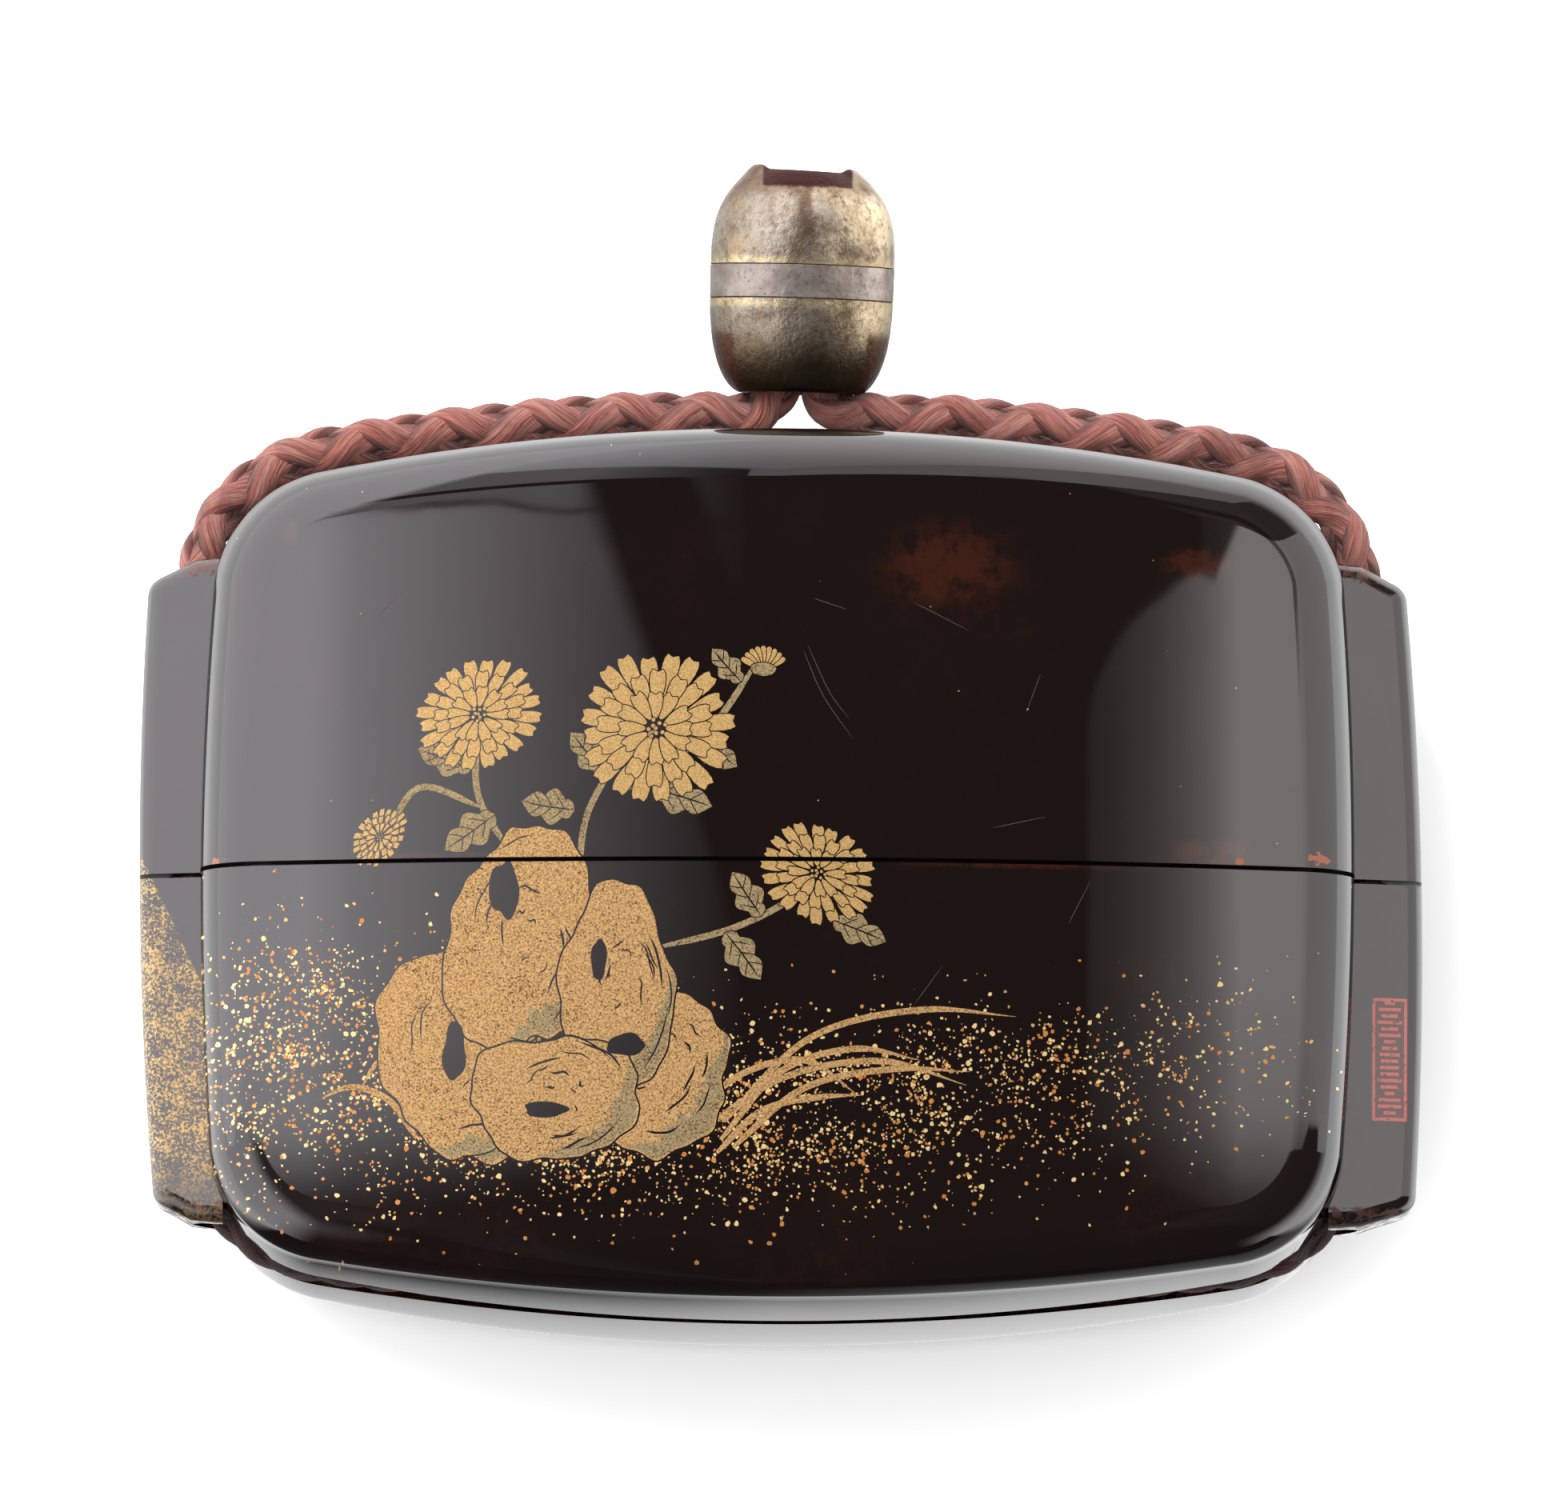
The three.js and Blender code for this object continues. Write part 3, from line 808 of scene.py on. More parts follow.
def backdrop():
    """The white ground that the case lies on. It glows to mirrored rays as painted light, with painted shade
    close round the case, and is dark towards the tent's open side where it is mirrored.
    """
    data = bpy.data.meshes.new("floor")
    data.from_pydata([(-8, -8, 0), (8, -8, 0), (8, 8, 0), (-8, 8, 0)], [], [(0, 1, 2, 3)])
    made, n = material("paper")
    x, y, _ = n.axes(n.spot())
    out_x = most(abs(x) - 0.030, 0.0)
    out_y = most(abs(y) - 0.022, 0.0)
    away = n.math("SQRT", out_x * out_x + out_y * out_y) - 0.008
    # The glow is dimmer close round the case: painted shade.
    mirrored_light = n.ramp(away, 0.002, 0.032, 1.1, 3.9)
    # Dark just in front of the case and brightening away from it: painted shade in the glow.
    in_front = y - (-0.0354 + most(x * -1.0, 0.0) * 0.10)
    near = (1.0 - exponent(most(in_front, 0.0) * -330.0)) * 1.7
    depth = most(y * -1.0 - 0.030, 0.0)
    aside = n.ramp(abs(x) - depth * 0.9, 0.040, 0.065)
    glint = n.ramp(x, -0.006, 0.022, 0.05, 0.45) * n.ramp(y, -0.105, -0.060)
    front_light = most(most(near, glint), mirrored_light * aside)
    mirrored_light = n.blend(n.ramp(y, -0.024, -0.018), front_light, mirrored_light)
    mirrored_light = most(mirrored_light, 0.05)
    seen = n.blend(n.take("Is Camera Ray", "ShaderNodeLightPath"), 0.85, 2.6)
    white = n.take(0, "ShaderNodeCombineColor", {0: seen, 1: seen, 2: seen})
    paper = n.take(0, "ShaderNodeBsdfDiffuse", {"Color": white})
    glow = n.take(0, "ShaderNodeEmission", {"Strength": mirrored_light})
    mirrored_ray = n.take("Is Glossy Ray", "ShaderNodeLightPath")
    both = n.take(0, "ShaderNodeMixShader", {0: mirrored_ray, 1: paper, 2: glow})
    n.new("ShaderNodeOutputMaterial", {"Surface": both})
    data.materials.append(made)
    link(data)


def soft_light(name, place, towards, size, power):
    data = bpy.data.lights.new(name, "AREA")
    data.shape, data.size, data.size_y = "RECTANGLE", *size
    data.energy = power
    lamp = link(data, name)
    lamp.location = Vector(place)
    lamp.rotation_euler = (Vector(towards) - Vector(place)).to_track_quat("-Z", "Y").to_euler()
    lamp.visible_camera = False
    lamp.visible_glossy = False


studio()
backdrop()
soft_light("key", (-0.45, 0.6, 0.8), (0, 0, 0), (0.6, 0.6), 5.0)
bpy.context.scene.view_settings.view_transform = "Standard"


# ---------------------------------------------------------------- turned parts
def lathe(name, profile, change=None, steps=96):
    """A closed solid of (radius, height) turned about the bead's leaning axis; change moves the heights."""
    profile = np.asarray(profile, float)
    turns = np.linspace(0, 2 * math.pi, steps, endpoint=False)
    soup = Soup()
    rings = []
    for radius, height in profile:
        x, z = radius * np.cos(turns), radius * np.sin(turns)
        heights = np.full(steps, height)
        rings.append(np.column_stack([x, change(x, heights, z) if change else heights, z]))
    soup.strip([ring[::-1] for ring in rings] + [rings[0][::-1]])
    data = soup.mesh(name)
    data.transform(Matrix.Translation(Vector((BEAD_X, BEAD_Y - BEAD_HALF, MID)) * MM)
                   @ Matrix.Rotation(-BEAD_TILT, 4, "Z") @ Matrix.Rotation(BEAD_LEAN, 4, "X")
                   @ Matrix.Translation((0, BEAD_HALF * MM, 0)))
    data.shade_smooth()
    data.set_sharp_from_angle(angle=math.radians(40))
    return link(data)


def smooth_profile(points, steps=6):
    line = centripetal([(r, h, 0) for r, h in points], steps)
    return [tuple(p[:2]) for p in line]


def worn_mouth(x, h, z):
    """The upper rim is worn down towards the front and the back, between square shoulders."""
    share = np.clip((h - 5.2) / 2.0, 0, 1)
    facing = np.clip((np.abs(z) / np.maximum(np.hypot(x, z), 1e-6) - 0.5) / 0.25, 0, 1)
    return h - share * share * (0.3 * facing * facing * (3 - 2 * facing) + 0.03 * x)


outer_low = smooth_profile([(3.3, -6.85), (3.6, -7.45), (3.95, -7.6), (4.55, -7.22), (5.2, -6.25), (5.72, -4.7),
                            (6.0, -2.7), (6.05, BAND_LOW)])
outer_high = smooth_profile([(BEAD_RADIUS, BAND_HIGH), (6.03, 2.4), (5.82, 3.8), (5.5, 4.7), (4.96, 5.65),
                             (4.0, 6.75), (3.55, 7.2), (3.3, 7.32), (BEAD_BORE, 7.1)])
bead_profile = outer_low + [(BAND_SEAT, BAND_LOW), (BAND_SEAT, BAND_HIGH)] + outer_high + [(BEAD_BORE, -6.1)]
bead = lathe("bead_metal", bead_profile, worn_mouth, 144)
band = lathe("bead_band", [(5.63, -1.45), (6.0, -1.45), (6.05, -1.4), (6.08, 0.7), (6.03, 0.75), (5.63, 0.75)])


def own_axes(n):
    """Places along the bead's own axis, to its right and towards its front, in millimetres."""
    x, y, z = n.axes(n.millimetres())
    up, out = y - (BEAD_Y - BEAD_HALF), z - MID
    height = up * math.cos(BEAD_LEAN) + out * math.sin(BEAD_LEAN)
    side = x - BEAD_X - up * math.sin(BEAD_TILT)
    height = height - BEAD_HALF + side * math.sin(BEAD_TILT)
    forward = out * math.cos(BEAD_LEAN) - up * math.sin(BEAD_LEAN)
    return height, side, forward


def old_brass():
    """Worn brass: silvery and amber where it is rubbed, brown patina, a dark streak down its middle that is
    painted reflection, painted shade to the left and painted highlight to the right, dark red under the worn
    rim.
    """
    made, n = material("old_brass")
    height, side, forward = own_axes(n)
    mm = n.millimetres()
    broad = n.noise(n.scaled(mm, (1.0, 0.7, 1.0)), 0.34, 5.0, 0.66)
    hue = n.noise(n.scaled(mm, (1.0, 1.0, 1.0), (7, 5, 0)), 0.22, 3.0, 0.6)
    fine = n.noise(mm, 1.5, 6.0, 0.74)
    grit = n.noise(mm, 8.0, 3.0, 0.7)
    bare = n.mix(n.ramp(hue + side * 0.02, 0.40, 0.58), (0.30, 0.262, 0.215), (0.33, 0.245, 0.140))
    # Darker towards the bead's left and lighter towards its right: painted shade and painted highlight on the
    # rubbed metal.
    bare = n.mix(n.ramp(side, -4.5, 3.0), n.mix(0.42, bare, (0.0, 0.0, 0.0)), n.mix(0.2, bare, (1.0, 0.9, 0.7)))
    colour = n.mix(n.ramp(broad, 0.36, 0.60, 0.8, 0.0), bare, (0.10, 0.066, 0.040))
    colour = n.mix(n.ramp(fine, 0.48, 0.68, 0, 0.78), colour, (0.085, 0.058, 0.040))
    colour = n.mix(n.ramp(grit, 0.50, 0.72, 0, 0.25), colour, (0.48, 0.40, 0.30))
    # A dark streak down the bead's middle, where the dark gap overhead is mirrored: painted reflection.
    wander = (broad - 0.5) * 3.0
    dark_reflection_streak = n.ramp(abs(side - 0.2 + wander), 0.15, 1.15, 0.85, 0.0)
    dark_reflection_streak = dark_reflection_streak * n.ramp(height, 0.9, 3.0)
    under_mouth = n.ramp(height + fine * 1.2, 5.3, 6.6, 0, 0.7)
    # The middle streak is painted reflection; below the mouth, towards the front, is brown patina.
    colour = n.mix(most(dark_reflection_streak, under_mouth * n.ramp(forward, 0.0, 2.0)), colour, (0.085, 0.050, 0.032))
    joint = most(n.ramp(abs(height - 0.95), 0.05, 0.6, 1, 0), n.ramp(abs(height + 1.7), 0.05, 0.6, 1, 0))
    colour = n.mix(joint * n.ramp(fine, 0.30, 0.62, 0.9, 0.2), colour, (0.42, 0.34, 0.19))
    low = n.ramp(height + (fine - 0.5) * 2.2, -2.6, -6.2, 0.0, 0.93)
    colour = n.mix(low, colour, (0.046, 0.032, 0.017))
    out = abs(side) + (fine - 0.5) * 1.0
    red_ends = n.ramp(out - height * 0.12, 4.75, 5.05) * n.ramp(height, -3.2, -4.2, 0.0, 0.85)
    red_shoulder = n.ramp(height + (side + 3.6) * -1.05, 6.0, 6.5) * n.ramp(side, -2.2, -3.2, 0.0, 0.55)
    colour = n.mix(most(red_ends, red_shoulder), colour, (0.066, 0.026, 0.016))
    edge = height + (fine - 0.5) * 0.4
    mouth = n.ramp(side, -2.9, -2.6) * n.ramp(side, 3.0, 3.25, 1, 0)
    lip = n.ramp(edge, 5.8, 6.05) * mouth
    colour = n.mix(lip, colour, n.mix(fine, (0.014, 0.004, 0.003), (0.060, 0.012, 0.008)))
    dent = n.ramp(n.cells(mm, 0.55)[0], 0.0, 0.16, -1.0, 0.0)
    relief = n.bump(broad * 1.2 + fine * 0.45 + dent * 0.25, 0.00020, 0.8)
    metal = n.blend(lip, n.ramp(broad, 0.3, 0.7, 0.78, 0.92), 0.0)
    roughness = n.blend(lip, n.ramp(fine, 0.3, 0.7, 0.28, 0.44), 0.55)
    n.surface(Base_Color=colour, Metallic=metal, Normal=relief, Roughness=roughness, Specular_IOR_Level=0.08,
              Specular_Tint=(0.55, 0.55, 0.55))
    return made


def grey_alloy():
    """The inlaid band: dull grey-mauve, pitted and finely scratched."""
    made, n = material("grey_alloy")
    height, side, forward = own_axes(n)
    mm = n.millimetres()
    broad = n.noise(mm, 0.5, 4.0, 0.6)
    pit = n.ramp(n.cells(mm, 2.6)[0], 0.08, 0.16, 1, 0)
    pit = pit * n.ramp(n.noise(mm, 1.1, 2.0), 0.45, 0.55)
    colour = n.mix(n.ramp(broad, 0.35, 0.68), (0.26, 0.222, 0.195), (0.42, 0.366, 0.322))
    # Darker towards the band's left side: painted shade.
    colour = n.mix(n.ramp(side, -5.0, 1.0, 0.5, 0.0), colour, (0.03, 0.025, 0.022))
    colour = n.mix(n.ramp(n.noise(mm, 2.4, 5.0, 0.7), 0.5, 0.66) * 0.6, colour, (0.13, 0.108, 0.095))
    colour = n.mix(pit * 0.85, colour, (0.030, 0.020, 0.017))
    seam = n.ramp(abs(side - 3.35), 0.03, 0.09, 1, 0) * (forward > 0.0)
    colour = n.mix(seam * n.ramp(height, -0.9, 0.3, 0.05, 0.55), colour, (0.52, 0.46, 0.36))
    relief = n.bump(broad - pit * 0.6, 0.00012, 0.7)
    n.surface(Base_Color=colour, Metallic=0.75, Roughness=0.44, Normal=relief, Specular_Tint=(0.4, 0.4, 0.4))
    return made


bead.data.materials.append(old_brass())
band.data.materials.append(grey_alloy())
for piece, node, slot_name in ((bead, "ojime_bead", "brass"), (band, "ojime_band", "grey_alloy")):
    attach(piece, "root")
    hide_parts(node)


# ---------------------------------------------------------------- gold pictures
def hand_of(outline):
    """1 for an outline that goes anticlockwise, -1 for one that goes clockwise."""
    ahead = np.roll(outline, -1, axis=0)
    return 1 if np.sum(outline[:, 0] * ahead[:, 1] - ahead[:, 0] * outline[:, 1]) > 0 else -1


class Picture:
    """Flush shapes for the front, later ones over earlier ones, in the frame's x and y."""

    def __init__(self):
        self.shapes = []

    def add(self, kind, outline, hand=0):
        outline = np.asarray(outline, float) - (0, RISE)
        self.shapes.append((kind, outline, hand or hand_of(outline)))

    def inked(self, kind, outline, line):
        """A shape with a dark contour left round it."""
        outline = np.asarray(outline, float)
        ahead, back = np.roll(outline, -1, axis=0), np.roll(outline, 1, axis=0)
        along = ahead - back
        along /= np.maximum(np.linalg.norm(along, axis=1, keepdims=True), 1e-9)
        hand = hand_of(outline)
        self.add(INK, outline)
        self.add(kind, outline + hand * line * np.stack([-along[:, 1], along[:, 0]], axis=-1), hand)

    def stroke(self, kind, points, width, taper=(0.3, 0.3), steps=8):
        """A brush line that swells along its middle."""
        line = centripetal([(*p, 0) for p in points], steps)[:, :2]
        along = unit(np.gradient(line, axis=0))
        side = np.stack([-along[:, 1], along[:, 0]], axis=-1)
        t = np.linspace(0, 1, len(line))
        half = 0.5 * width * np.minimum(np.minimum(taper[0] + t * 4, 1), np.minimum(taper[1] + (1 - t) * 3, 1))
        self.add(kind, np.vstack([line + side * half[:, None], (line - side * half[:, None])[::-1]]))


def blob(middle, size, wobble, seed, steps=90, lobes=(2, 3, 5, 8, 13)):
    """A lumpy closed outline."""
    own = np.random.default_rng(seed)
    t = np.linspace(0, 2 * math.pi, steps, endpoint=False)
    r = 1 + sum(wobble * own.uniform(0.4, 1) / k ** 0.7 * np.cos(k * t + own.uniform(0, 6.3)) for k in lobes)
    return np.stack([middle[0] + size[0] * r * np.cos(t), middle[1] + size[1] * r * np.sin(t)], axis=-1)


def turned_points(points, angle, middle):
    c, s = math.cos(angle), math.sin(angle)
    return np.asarray(points) @ np.array([[c, s], [-s, c]]) + middle


def petal(inner, outer, half, notch=0.0):
    t = np.linspace(0, math.pi, 9)
    r = inner + (outer - inner) * (1 - np.cos(t)) / 2
    w = half * np.sin(t) ** 0.75 * (0.45 + 0.55 * (r - inner) / (outer - inner))
    r[-1] -= notch
    return np.vstack([np.stack([r, w], axis=-1), np.stack([r, -w], axis=-1)[-2:0:-1]])


def blossom(picture, middle, radius, seed, squash=1.0, lean=0.0):
    """A chrysanthemum with three rings of petals."""
    own = np.random.default_rng(seed)
    for share, count, inner in ((1.0, 20, 0.5), (0.76, 16, 0.34), (0.52, 12, 0.14)):
        half = math.pi * radius * share / count * 0.98
        for k in range(count):
            angle = 2 * math.pi * (k + own.uniform(-0.12, 0.12)) / count + share * 2
            long = radius * share * own.uniform(0.93, 1.04)
            shape = turned_points(petal(radius * inner * 0.8, long, half, 0.05 * radius), angle, (0, 0))
            shape = turned_points(shape * (1, squash), lean, middle)
            picture.inked(GOLD_BRIGHT, shape, 0.075)
    for k in range(9):
        angle, r = k * 2.4, radius * 0.045 * math.sqrt(k)
        spot = turned_points([(r * math.cos(angle), r * math.sin(angle) * squash)], lean, middle)[0]
        picture.inked(GOLD_BRIGHT, blob(spot, (0.034 * radius,) * 2, 0.05, k, 8, (2,)), 0.04)


def leaf(picture, foot, tip, wide):
    """A five-lobed leaf with its veins."""
    foot, tip = np.array(foot, float), np.array(tip, float)
    axis = tip - foot
    size, angle = np.linalg.norm(axis), math.atan2(axis[1], axis[0])
    t = np.linspace(0, 1, 26)
    half = wide * np.sin(math.pi * np.minimum(t * 1.02,
                                              1)) ** 0.6 * (0.62 + 0.38 * np.abs(np.cos(2.5 * math.pi * t)))
    half = half * (1 - 0.35 * t) + 0.02
    outline = np.vstack([np.stack([t * size, half], axis=-1), np.stack([t * size, -half], axis=-1)[::-1]])
    picture.inked(GOLD_GREEN, turned_points(outline, angle, foot), 0.07)
    picture.stroke(INK, turned_points([(0.02 * size, 0), (0.5 * size, 0.03 * wide), (0.93 * size, 0)], angle,
                                      foot), 0.1)
    for where in (0.2, 0.42, 0.62):
        for side in (1, -1):
            ends = [(where * size, 0), ((where + 0.1) * size, side * wide * 0.3),
                    ((where + 0.2) * size, side * wide * 0.55)]
            picture.stroke(INK, turned_points(ends, angle, foot), 0.07, (0.5, 0.2), 4)


def rock(picture):
    """A weathered garden stone: craggy masses with shaded sides, contour strokes and hollows."""
    masses = [((-20.4, -12.4), (5.6, 7.4), 3), ((-8.2, -13.6), (5.4, 5.6), 14), ((-16.6, -5.4), (5.0, 7.6), 5),
              ((-10.4, -8.6), (4.0, 6.6), 16), ((-14.4, -15.6), (5.4, 4.4), 8)]
    for middle, size, seed in masses:
        own = np.random.default_rng(seed + 20)
        outline = blob(middle, size, 0.15, seed, 110, (2, 3, 4, 7, 11, 17))
        picture.inked(GOLD_MAT, outline, 0.12)
        turn = np.arctan2(outline[:, 1] - middle[1], outline[:, 0] - middle[0])
        order = np.flatnonzero((turn > -1.9) & (turn < 0.5))
        order = order[np.argsort(turn[order])]
        rim = (outline[order] - middle) * 0.955 + middle
        depth = 0.30 * np.sin(np.linspace(0, math.pi, len(order))) * own.uniform(0.7, 1.3, len(order)).round(1)
        picture.add(GOLD_GREEN, np.vstack([rim, (middle + (rim - middle) * (1 - depth)[:, None])[::-1]]))
        for k in range(15):
            start = own.uniform(-2.2, 2.6)
            reach = 0.9 - 0.05 * k + own.uniform(-0.03, 0.03)
            turns = np.linspace(start, start + own.uniform(0.25, 0.9), 4)
            reaches = reach + np.cumsum(own.uniform(-0.05, 0.03, 4))
            ends = [(middle[0] + size[0] * r * math.cos(a), middle[1] + size[1] * r * math.sin(a))
                    for a, r in zip(turns, reaches)]
            picture.stroke(INK, ends, own.uniform(0.09, 0.16), (0.2, 0.05), 5)
    for middle, size, seed in (((-17.8, -2.0), (0.9, 2.0), 31), ((-9.8, -12.2), (1.3, 0.7), 32),
                               ((-21.0, -12.6), (0.8, 1.8), 33), ((-11.6, -6.6), (0.5, 1.4), 34),
                               ((-15.0, -16.4), (1.5, 0.5), 35)):
        picture.add(INK, blob(middle, size, 0.2, seed, 40, (2, 3, 5)))


def garden():
    picture = Picture()
    stems = [[(-13.0, -2.0), (-12.4, 3.0), (-9.8, 7.2), (-8.0, 8.5)], [(-17.5, 0.5), (-19.6, 4.4), (-19.5, 9.5)],
             [(-8.5, -6.0), (-3.0, -4.6), (0.6, -2.8), (2.5, -1.0)], [(-9.8, 4.5), (-4.6, 8.4), (-1.0, 13.6)],
             [(-19.2, 3.4), (-23.4, 4.8), (-25.4, 2.2)]]
    for stem in stems:
        picture.stroke(GOLD_GREEN, stem, 0.42)
    blades = [((-3.6, -18.4), 6.0, 13.0, 2.4), ((-4.6, -17.6), 4.4, 17.0, 5.0), ((-3.4, -17.2), 7.4, 19.0, 1.2),
              ((-5.2, -16.4), 3.2, 10.5, 7.4), ((-3.8, -19.2), 3.6, 9.5, -0.6), ((-2.8, -18.9), 5.2, 15.4, 0.4),
              ((-23.0, -17.8), 4.6, -4.2, 6.4), ((-23.4, -18.2), 3.4, -6.4, 2.6)]
    for (x, y), rise, reach, fall in blades:
        picture.stroke(GOLD_MAT, [(x, y), (x + reach * 0.3, y + rise * 0.75), (x + reach * 0.68, y + rise),
                                  (x + reach, y + rise - fall * 0.3)], 0.42, (0.6, 0.05), 9)
    rock(picture)
    for foot, tip, wide in (((-13.2, 3.2), (-16.8, 3.8), 1.5), ((-11.2, 5.6), (-13.6, 8.4), 1.3),
                            ((-8.2, 4.6), (-4.2, 3.4), 1.5), ((-5.4, 7.9), (-2.6, 6.0), 1.3),
                            ((-19.9, 6.0), (-23.6, 7.4), 1.4), ((-18.4, 3.0), (-21.8, 0.6), 1.5),
                            ((-3.4, -4.8), (-1.0, -8.0), 1.4), ((-1.0, -3.8), (-3.0, -0.8), 1.3),
                            ((-2.4, 11.6), (-4.4, 13.9), 1.1), ((3.6, -4.0), (7.2, -5.4), 1.3)):
        leaf(picture, foot, tip, wide)
    blossom(picture, (-8.0, 8.6), 5.2, 1)
    blossom(picture, (-19.6, 9.6), 4.3, 2, 0.86, 0.4)
    blossom(picture, (2.6, -0.9), 4.1, 3, 0.8, -0.5)
    blossom(picture, (-26.0, 1.6), 2.3, 5, 0.7, 0.9)
    for k in range(9):
        angle = math.radians(30 + 15 * k)
        picture.inked(GOLD_BRIGHT, turned_points(petal(0.2, 1.7, 0.32), angle, (-1.0, 12.4)), 0.06)
    picture.inked(GOLD_GREEN, blob((-1.0, 12.5), (0.9, 0.5), 0.06, 9, 24), 0.07)
    marks = [((1.6, 13.8), (2.9, 10.8), (4.9, 7.9)), ((1.9, 14.1), (3.4, 10.9), (4.6, 9.3)),
             ((2.3, 17.2), (4.4, 16.5)), ((17.1, 12.4), (16.2, 9.9)), ((8.8, 17.0), (12.4, 15.2)),
             ((-26.4, 16.0), (-24.6, 17.8)),
             ((14.0, 2.2), (17.5, 3.0)), ((19.0, -4.0), (20.4, -1.2)), ((9.0, -9.4), (10.8, -6.9))]
    for mark in marks:
        picture.stroke(SCRATCH, mark, 0.05, (0.3, 0.2), 5)
    return picture.shapes


# ---------------------------------------------------------------- lacquer and gold
# middle, half size and strength of each patch on the front
GOLD_CLOUDS = (((-31.0, -9.8), (6.6, 4.4), 1.05), ((-2.0, -17.0), (15.5, 4.3), 1.5),
               ((-19.0, -16.5), (14.0, 4.6), 0.8), ((17.0, -13.6), (11.0, 3.4), 0.75),
               ((-34.0, -16.0), (6.0, 5.0), 0.4), ((28.0, -10.5), (5.0, 2.6), 0.25))
STAINS = (((11.1, 19.4), (4.4, 3.0), 1.0), ((27.3, 19.9), (2.0, 1.0), 1.5), ((28.6, 0.9), (2.6, 0.9), 1.3),
          ((-32.0, 21.9), (0.5, 0.8), 1.4), ((-23.0, 0.3), (5.0, 0.35), 0.9), ((16.0, -0.2), (9.0, 0.3), 0.8))
CHIPS = (((35.3, 0.75), (0.9, 0.5), 1.0), ((30.2, 0.35), (0.32, 0.28), 1.0), ((-36.6, 0.3), (0.6, 0.3), 1.0))
CRACK_X, CRACK_LOW, CRACK_HIGH = -35.4, 0.2, 23.2


def humps(x, y, patches):
    """Soft bumps added up; x and y are wires in millimetres."""
    made = []
    for middle, size, strength in patches:
        dx, dy = (x - middle[0]) / size[0], (y - middle[1]) / size[1]
        made.append(exponent((dx * dx + dy * dy) * -1.0) * strength)
    return sum(made[1:], made[0])


def lacquer_skin(name, base, rough):
    """Brown-black lacquer with gold flakes, reddish mottling, stains and a crack."""
    made, n = material(name)
    mm = n.millimetres()
    x, y, z = n.axes(mm)
    front = n.ramp(z, MID + 2.0, MID + 5.0)
    jitter = n.noise(mm, 3.0, 1.0, out="Color")
    warped = n.take(0, "ShaderNodeVectorMath", {0: jitter, 1: (0.22,) * 3, 2: mm},
                    operation="MULTIPLY_ADD")

    density = humps(x, y, GOLD_CLOUDS)
    drift = n.noise(mm, 0.28, 3.0, 0.6)
    density = density * n.ramp(drift, 0.30, 0.68, 0.25, 1.5)
    flakes, tint = None, None
    for scale, reach, share, shift in ((2.0, 0.36, 0.62, 3.0), (2.7, 0.37, 0.62, 11.0), (3.9, 0.38, 0.55, 23.0)):
        moved = n.scaled(warped, (1.0, 1.0, 0.0), (shift, shift * 1.7, 0))
        away, own = n.cells(moved, scale)
        red, green, blue = n.parts("ShaderNodeSeparateColor", own)
        shown = red < density * share
        size = (0.55 + green * 0.45) * reach
        disc = n.ramp(away - size, -0.03, 0.03, 1, 0) * shown
        flakes = disc if flakes is None else most(flakes, disc)
        tint = blue if tint is None else n.blend(disc, tint, blue)
    flakes = flakes * front
    gold = n.mix(n.ramp(tint, 0.02, 0.45), (0.66, 0.23, 0.045), (0.98, 0.72, 0.32))

    away, own = n.cells(n.scaled(warped, (1.0, 1.0, 1.0), (40, 3, 0)), 1.1)
    chosen = n.parts("ShaderNodeSeparateColor", own)[0] < 0.07
    dust = chosen * n.ramp(away, 0.035, 0.075, 1, 0)

    broad = n.noise(mm, 0.07, 4.0, 0.62)
    fine = n.noise(mm, 0.9, 3.0, 0.6)
    mottle = n.ramp(broad, 0.50, 0.74) * n.ramp(fine, 0.36, 0.66)
    stained = humps(x, y, STAINS)
    ragged = n.noise(mm, 0.62, 4.0, 0.7)
    stained = n.ramp(stained * n.ramp(ragged, 0.20, 0.66), 0.12, 0.75)
    stained = stained * front
    colour = n.mix(mottle * 0.55, base, (0.034, 0.009, 0.005))
    colour = n.mix(stained * 0.8, colour, (0.060, 0.014, 0.006))

    chip = humps(x, y, CHIPS)
    chip = n.ramp(chip * n.ramp(n.noise(mm, 1.6, 4.0), 0.3, 0.6), 0.36, 0.46) * front
    colour = n.mix(chip, colour, (0.46, 0.15, 0.09))

    bend = most(y - 17.0, 0.0)
    course = CRACK_X + y * 0.1 + bend * bend * 0.033
    course = course + (n.noise(mm, 0.5, 3.0) - 0.5) * 0.7
    crack = n.ramp(abs(x - course), 0.03, 0.08, 1, 0)
    crack = crack * (y > CRACK_LOW) * (front * (y < CRACK_HIGH))

    gilded = most(flakes, dust * 0.8)
    colour = n.mix(gilded, colour, gold)
    colour = n.mix(crack, colour, (0.002, 0.001, 0.001))
    smear = n.noise(n.scaled(mm, (1.0, 0.5, 1.0)), 0.16, 4.0, 0.6)
    roughness = n.ramp(smear, 0.3, 0.7, rough, rough + 0.012)
    roughness = n.blend(most(gilded, chip), roughness, 0.42)
    swell = n.noise(mm, 0.10, 2.0, 0.4)
    pits = n.noise(mm, 2.2, 2.0, 0.5)
    relief = n.bump(swell + pits * 0.004, 0.00003, 0.3)
    n.surface(Base_Color=colour, Metallic=gilded * 0.3, Roughness=roughness, IOR=1.54, Normal=relief)
    return made


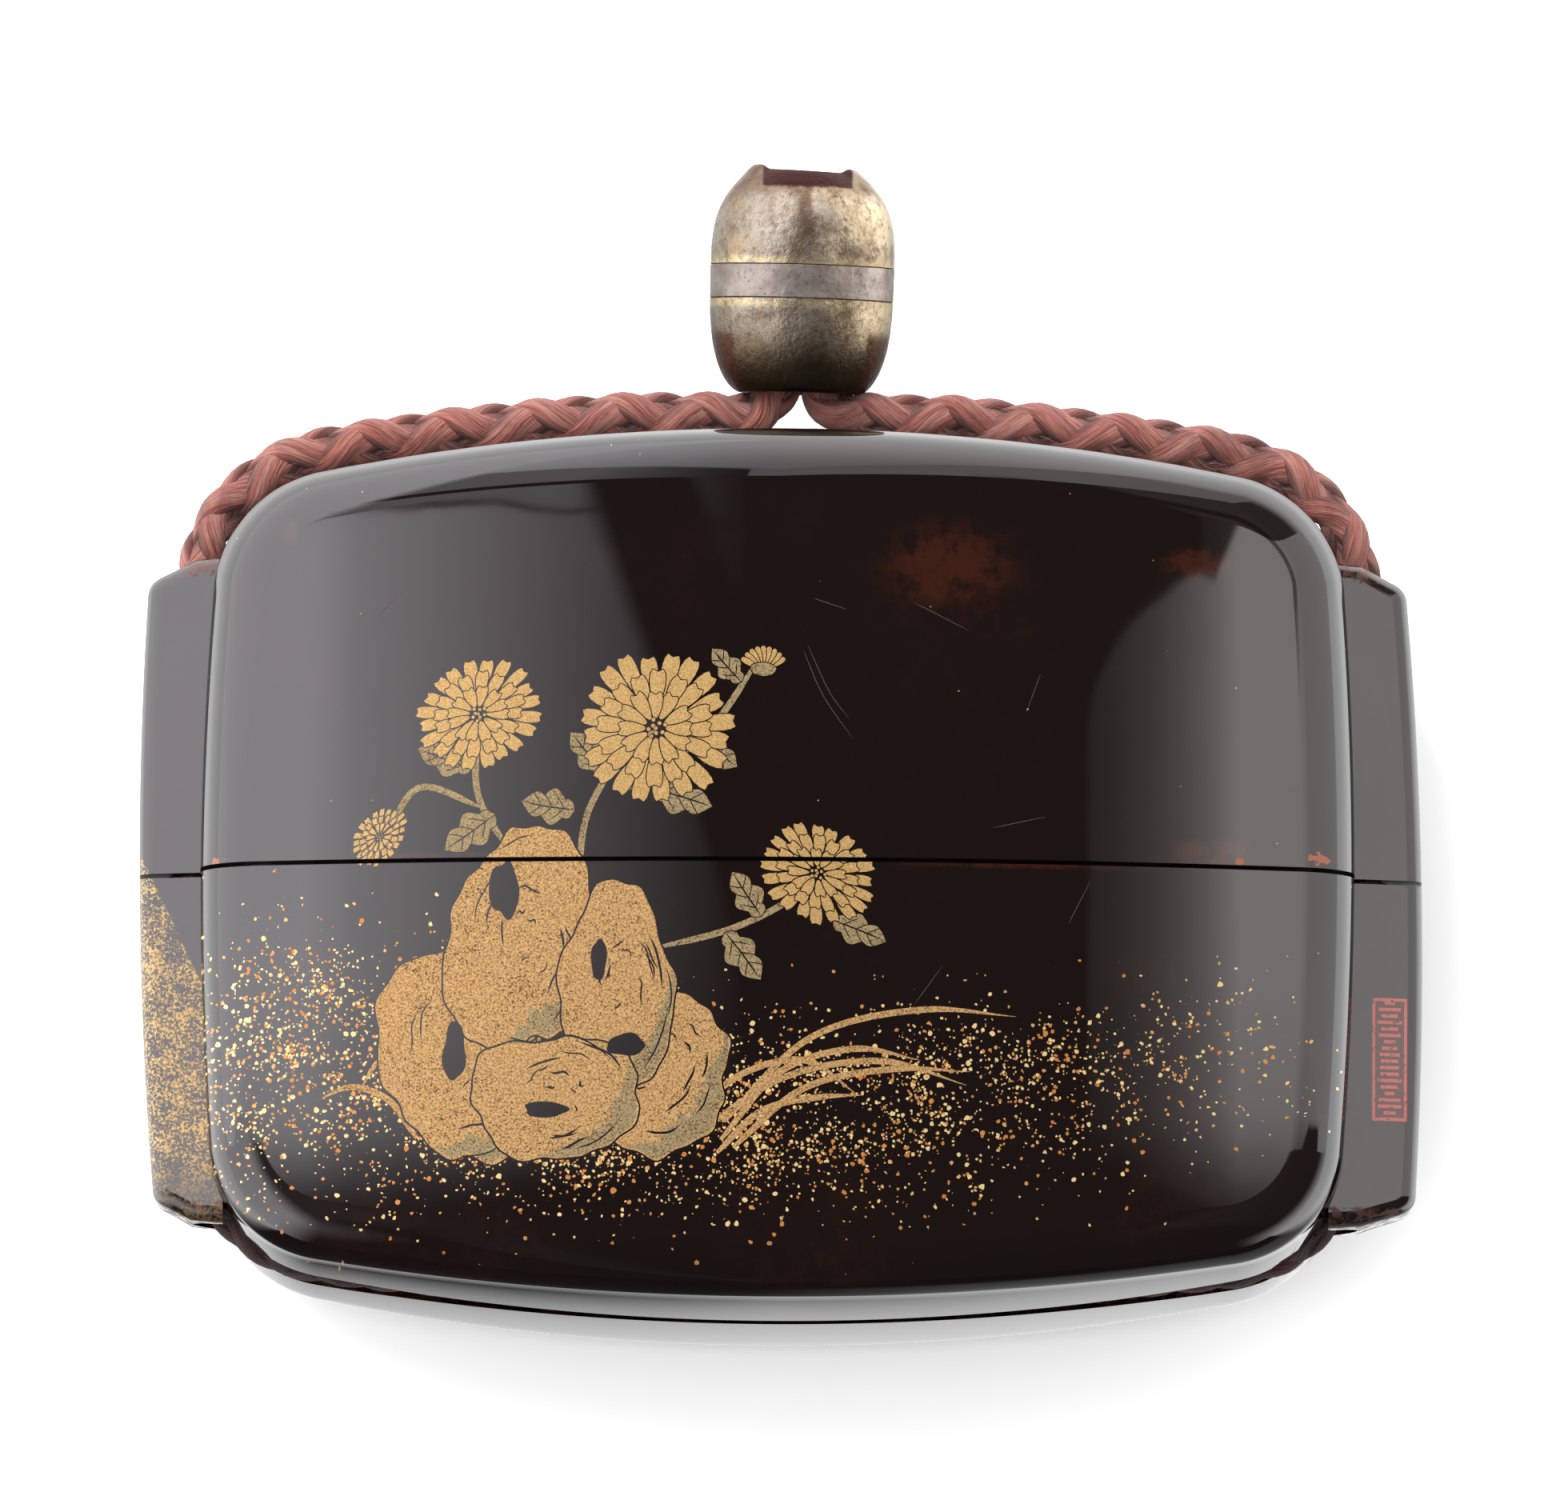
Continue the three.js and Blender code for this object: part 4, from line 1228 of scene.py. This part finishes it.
def runner_skin():
    """The fins' thinner, duller lacquer, with sprinkled gold low on the left one and worn edges."""
    made, n = material("runner_lacquer")
    mm = n.millimetres()
    x, y, z = n.axes(mm)
    limit = 0.6 + (x + 41.4) * -2.1
    region = n.ramp(y - limit, -0.25, 0.15, 1, 0)
    region = region * n.ramp(y, -21.6, -17.6, 0.25, 1.0)
    region = region * ((x < 0.0) * (z > MID))
    powder = n.noise(mm, 5.0, 4.0, 0.8)
    loose = n.noise(mm, 0.7, 3.0, 0.6)
    gilded = n.ramp(powder + loose * 0.3, 0.63, 0.72) * region
    broad = n.noise(mm, 0.12, 4.0, 0.65)
    colour = n.mix(n.ramp(broad, 0.45, 0.75, 0, 0.6), (0.012, 0.006, 0.005), (0.030, 0.010, 0.007))
    end = most(y - 19.9, -21.6 - y)
    worn = n.ramp(end, -0.25, 0.05) * n.ramp(n.noise(mm, 1.3, 4.0, 0.7), 0.44, 0.6)
    colour = n.mix(worn, colour, (0.085, 0.026, 0.017))
    colour = n.mix(gilded, colour, n.mix(powder, (0.40, 0.20, 0.06), (0.80, 0.58, 0.26)))
    across = (x - 39.05) / 2.3
    along = (y + 15.75) / 8.1

    def within(value, low, high):
        return (value > low) * (value < high)

    block = within(across, 0.0, 1.0) * within(along, 0.0, 1.0)
    field = within(across, 0.09, 0.91) * within(along, 0.025, 0.975)
    row = along * 19.0
    chance = n.take("Value", "ShaderNodeTexWhiteNoise", {"W": n.math("FLOOR", row)}, noise_dimensions="1D")
    bar = (n.math("FRACT", row) < 0.52) * (abs(across - 0.5) < 0.14 + chance * 0.22)
    mark = block * most(1.0 - field, bar)
    mark = mark * n.ramp(n.noise(mm, 3.0, 3.0), 0.3, 0.45)
    mark = mark * (z > MID)
    colour = n.mix(block * ((z > MID) * 0.35), colour, (0.20, 0.035, 0.022))
    colour = n.mix(mark, colour, (0.62, 0.10, 0.07))
    roughness = n.blend(most(gilded, worn), n.ramp(broad, 0.3, 0.7, 0.08, 0.13), 0.45)
    relief = n.bump(n.noise(mm, 0.35, 2.0, 0.4), 0.00003, 0.5)
    n.surface(Base_Color=colour, Metallic=gilded * 0.3, Roughness=roughness, IOR=1.54, Normal=relief)
    return made


def gold_skin(name, dark, light, grain, roughness, bare):
    """Powdered gold in clear lacquer; bare is the share of dark ground between the grains."""
    made, n = material(name)
    mm = n.millimetres()
    grains = n.noise(mm, grain, 2.0, 0.75)
    broad = n.noise(mm, 0.35, 3.0, 0.6)
    colour = n.mix(n.ramp(grains, 0.35, 0.65), dark, light)
    gap = n.ramp(grains - (broad - 0.5) * 0.3, bare - 0.05, bare + 0.04, 1, 0)
    colour = n.mix(gap, colour, (0.06, 0.022, 0.008))
    colour = n.mix(n.ramp(broad, 0.55, 0.8, 0, 0.25), colour, dark)
    relief = n.bump(grains, 0.00003, 0.5)
    n.surface(Base_Color=colour, Metallic=0.35, Roughness=roughness, Normal=relief)
    return made


def plain_skin(name, colour, roughness):
    made, n = material(name)
    n.surface(Base_Color=colour, Roughness=roughness, IOR=1.54)
    return made


skins = [lacquer_skin("lacquer", (0.010, 0.0045, 0.0038), 0.018), runner_skin(),
          plain_skin("inside_lacquer", (0.02, 0.008, 0.006), 0.35),
          gold_skin("bright_gold", (0.46, 0.26, 0.08), (0.74, 0.49, 0.19), 9.0, 0.42, 0.26),
          gold_skin("mat_gold", (0.34, 0.17, 0.055), (0.70, 0.44, 0.18), 7.5, 0.55, 0.38),
          gold_skin("green_gold", (0.22, 0.15, 0.07), (0.46, 0.35, 0.17), 7.5, 0.5, 0.38),
          plain_skin("ink", (0.010, 0.0045, 0.0038), 0.10), plain_skin("scratch", (0.045, 0.034, 0.030), 0.5)]


# ---------------------------------------------------------------- lid and body
def with_skins(obj):
    for skin in skins:
        obj.data.materials.append(skin)
    return obj


form = with_skins(outer_form(garden()))
for side in (1, -1):
    form = combined(form, with_skins(runner(side)), "UNION")
form = combined(form, with_skins(cord_channel()), "DIFFERENCE")
halves = {}
for name, low, high in (("lid", SEAM / 2, 60), ("body", -60, -SEAM / 2)):
    half = link(form.data.copy(), name)
    halves[name] = combined(half, with_skins(slab(low, high, 0)), "INTERSECT")
drop(form)
halves["lid"] = combined(halves["lid"], with_skins(plain_cushion(LID_WALL)),
                         "DIFFERENCE")
riser = combined(with_skins(plain_cushion(RISER_OUT)),
                 with_skins(slab(-2, RISER_HEIGHT)), "INTERSECT")
hollow = combined(with_skins(plain_cushion(BODY_WALL)),
                  with_skins(slab(FLOOR_Y, 60)), "INTERSECT")
halves["body"] = combined(combined(halves["body"], riser, "UNION"), hollow, "DIFFERENCE")
for name, half in halves.items():
    finish_case(half, "lacquered_" + name)
    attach(half, "root")
    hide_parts(name)
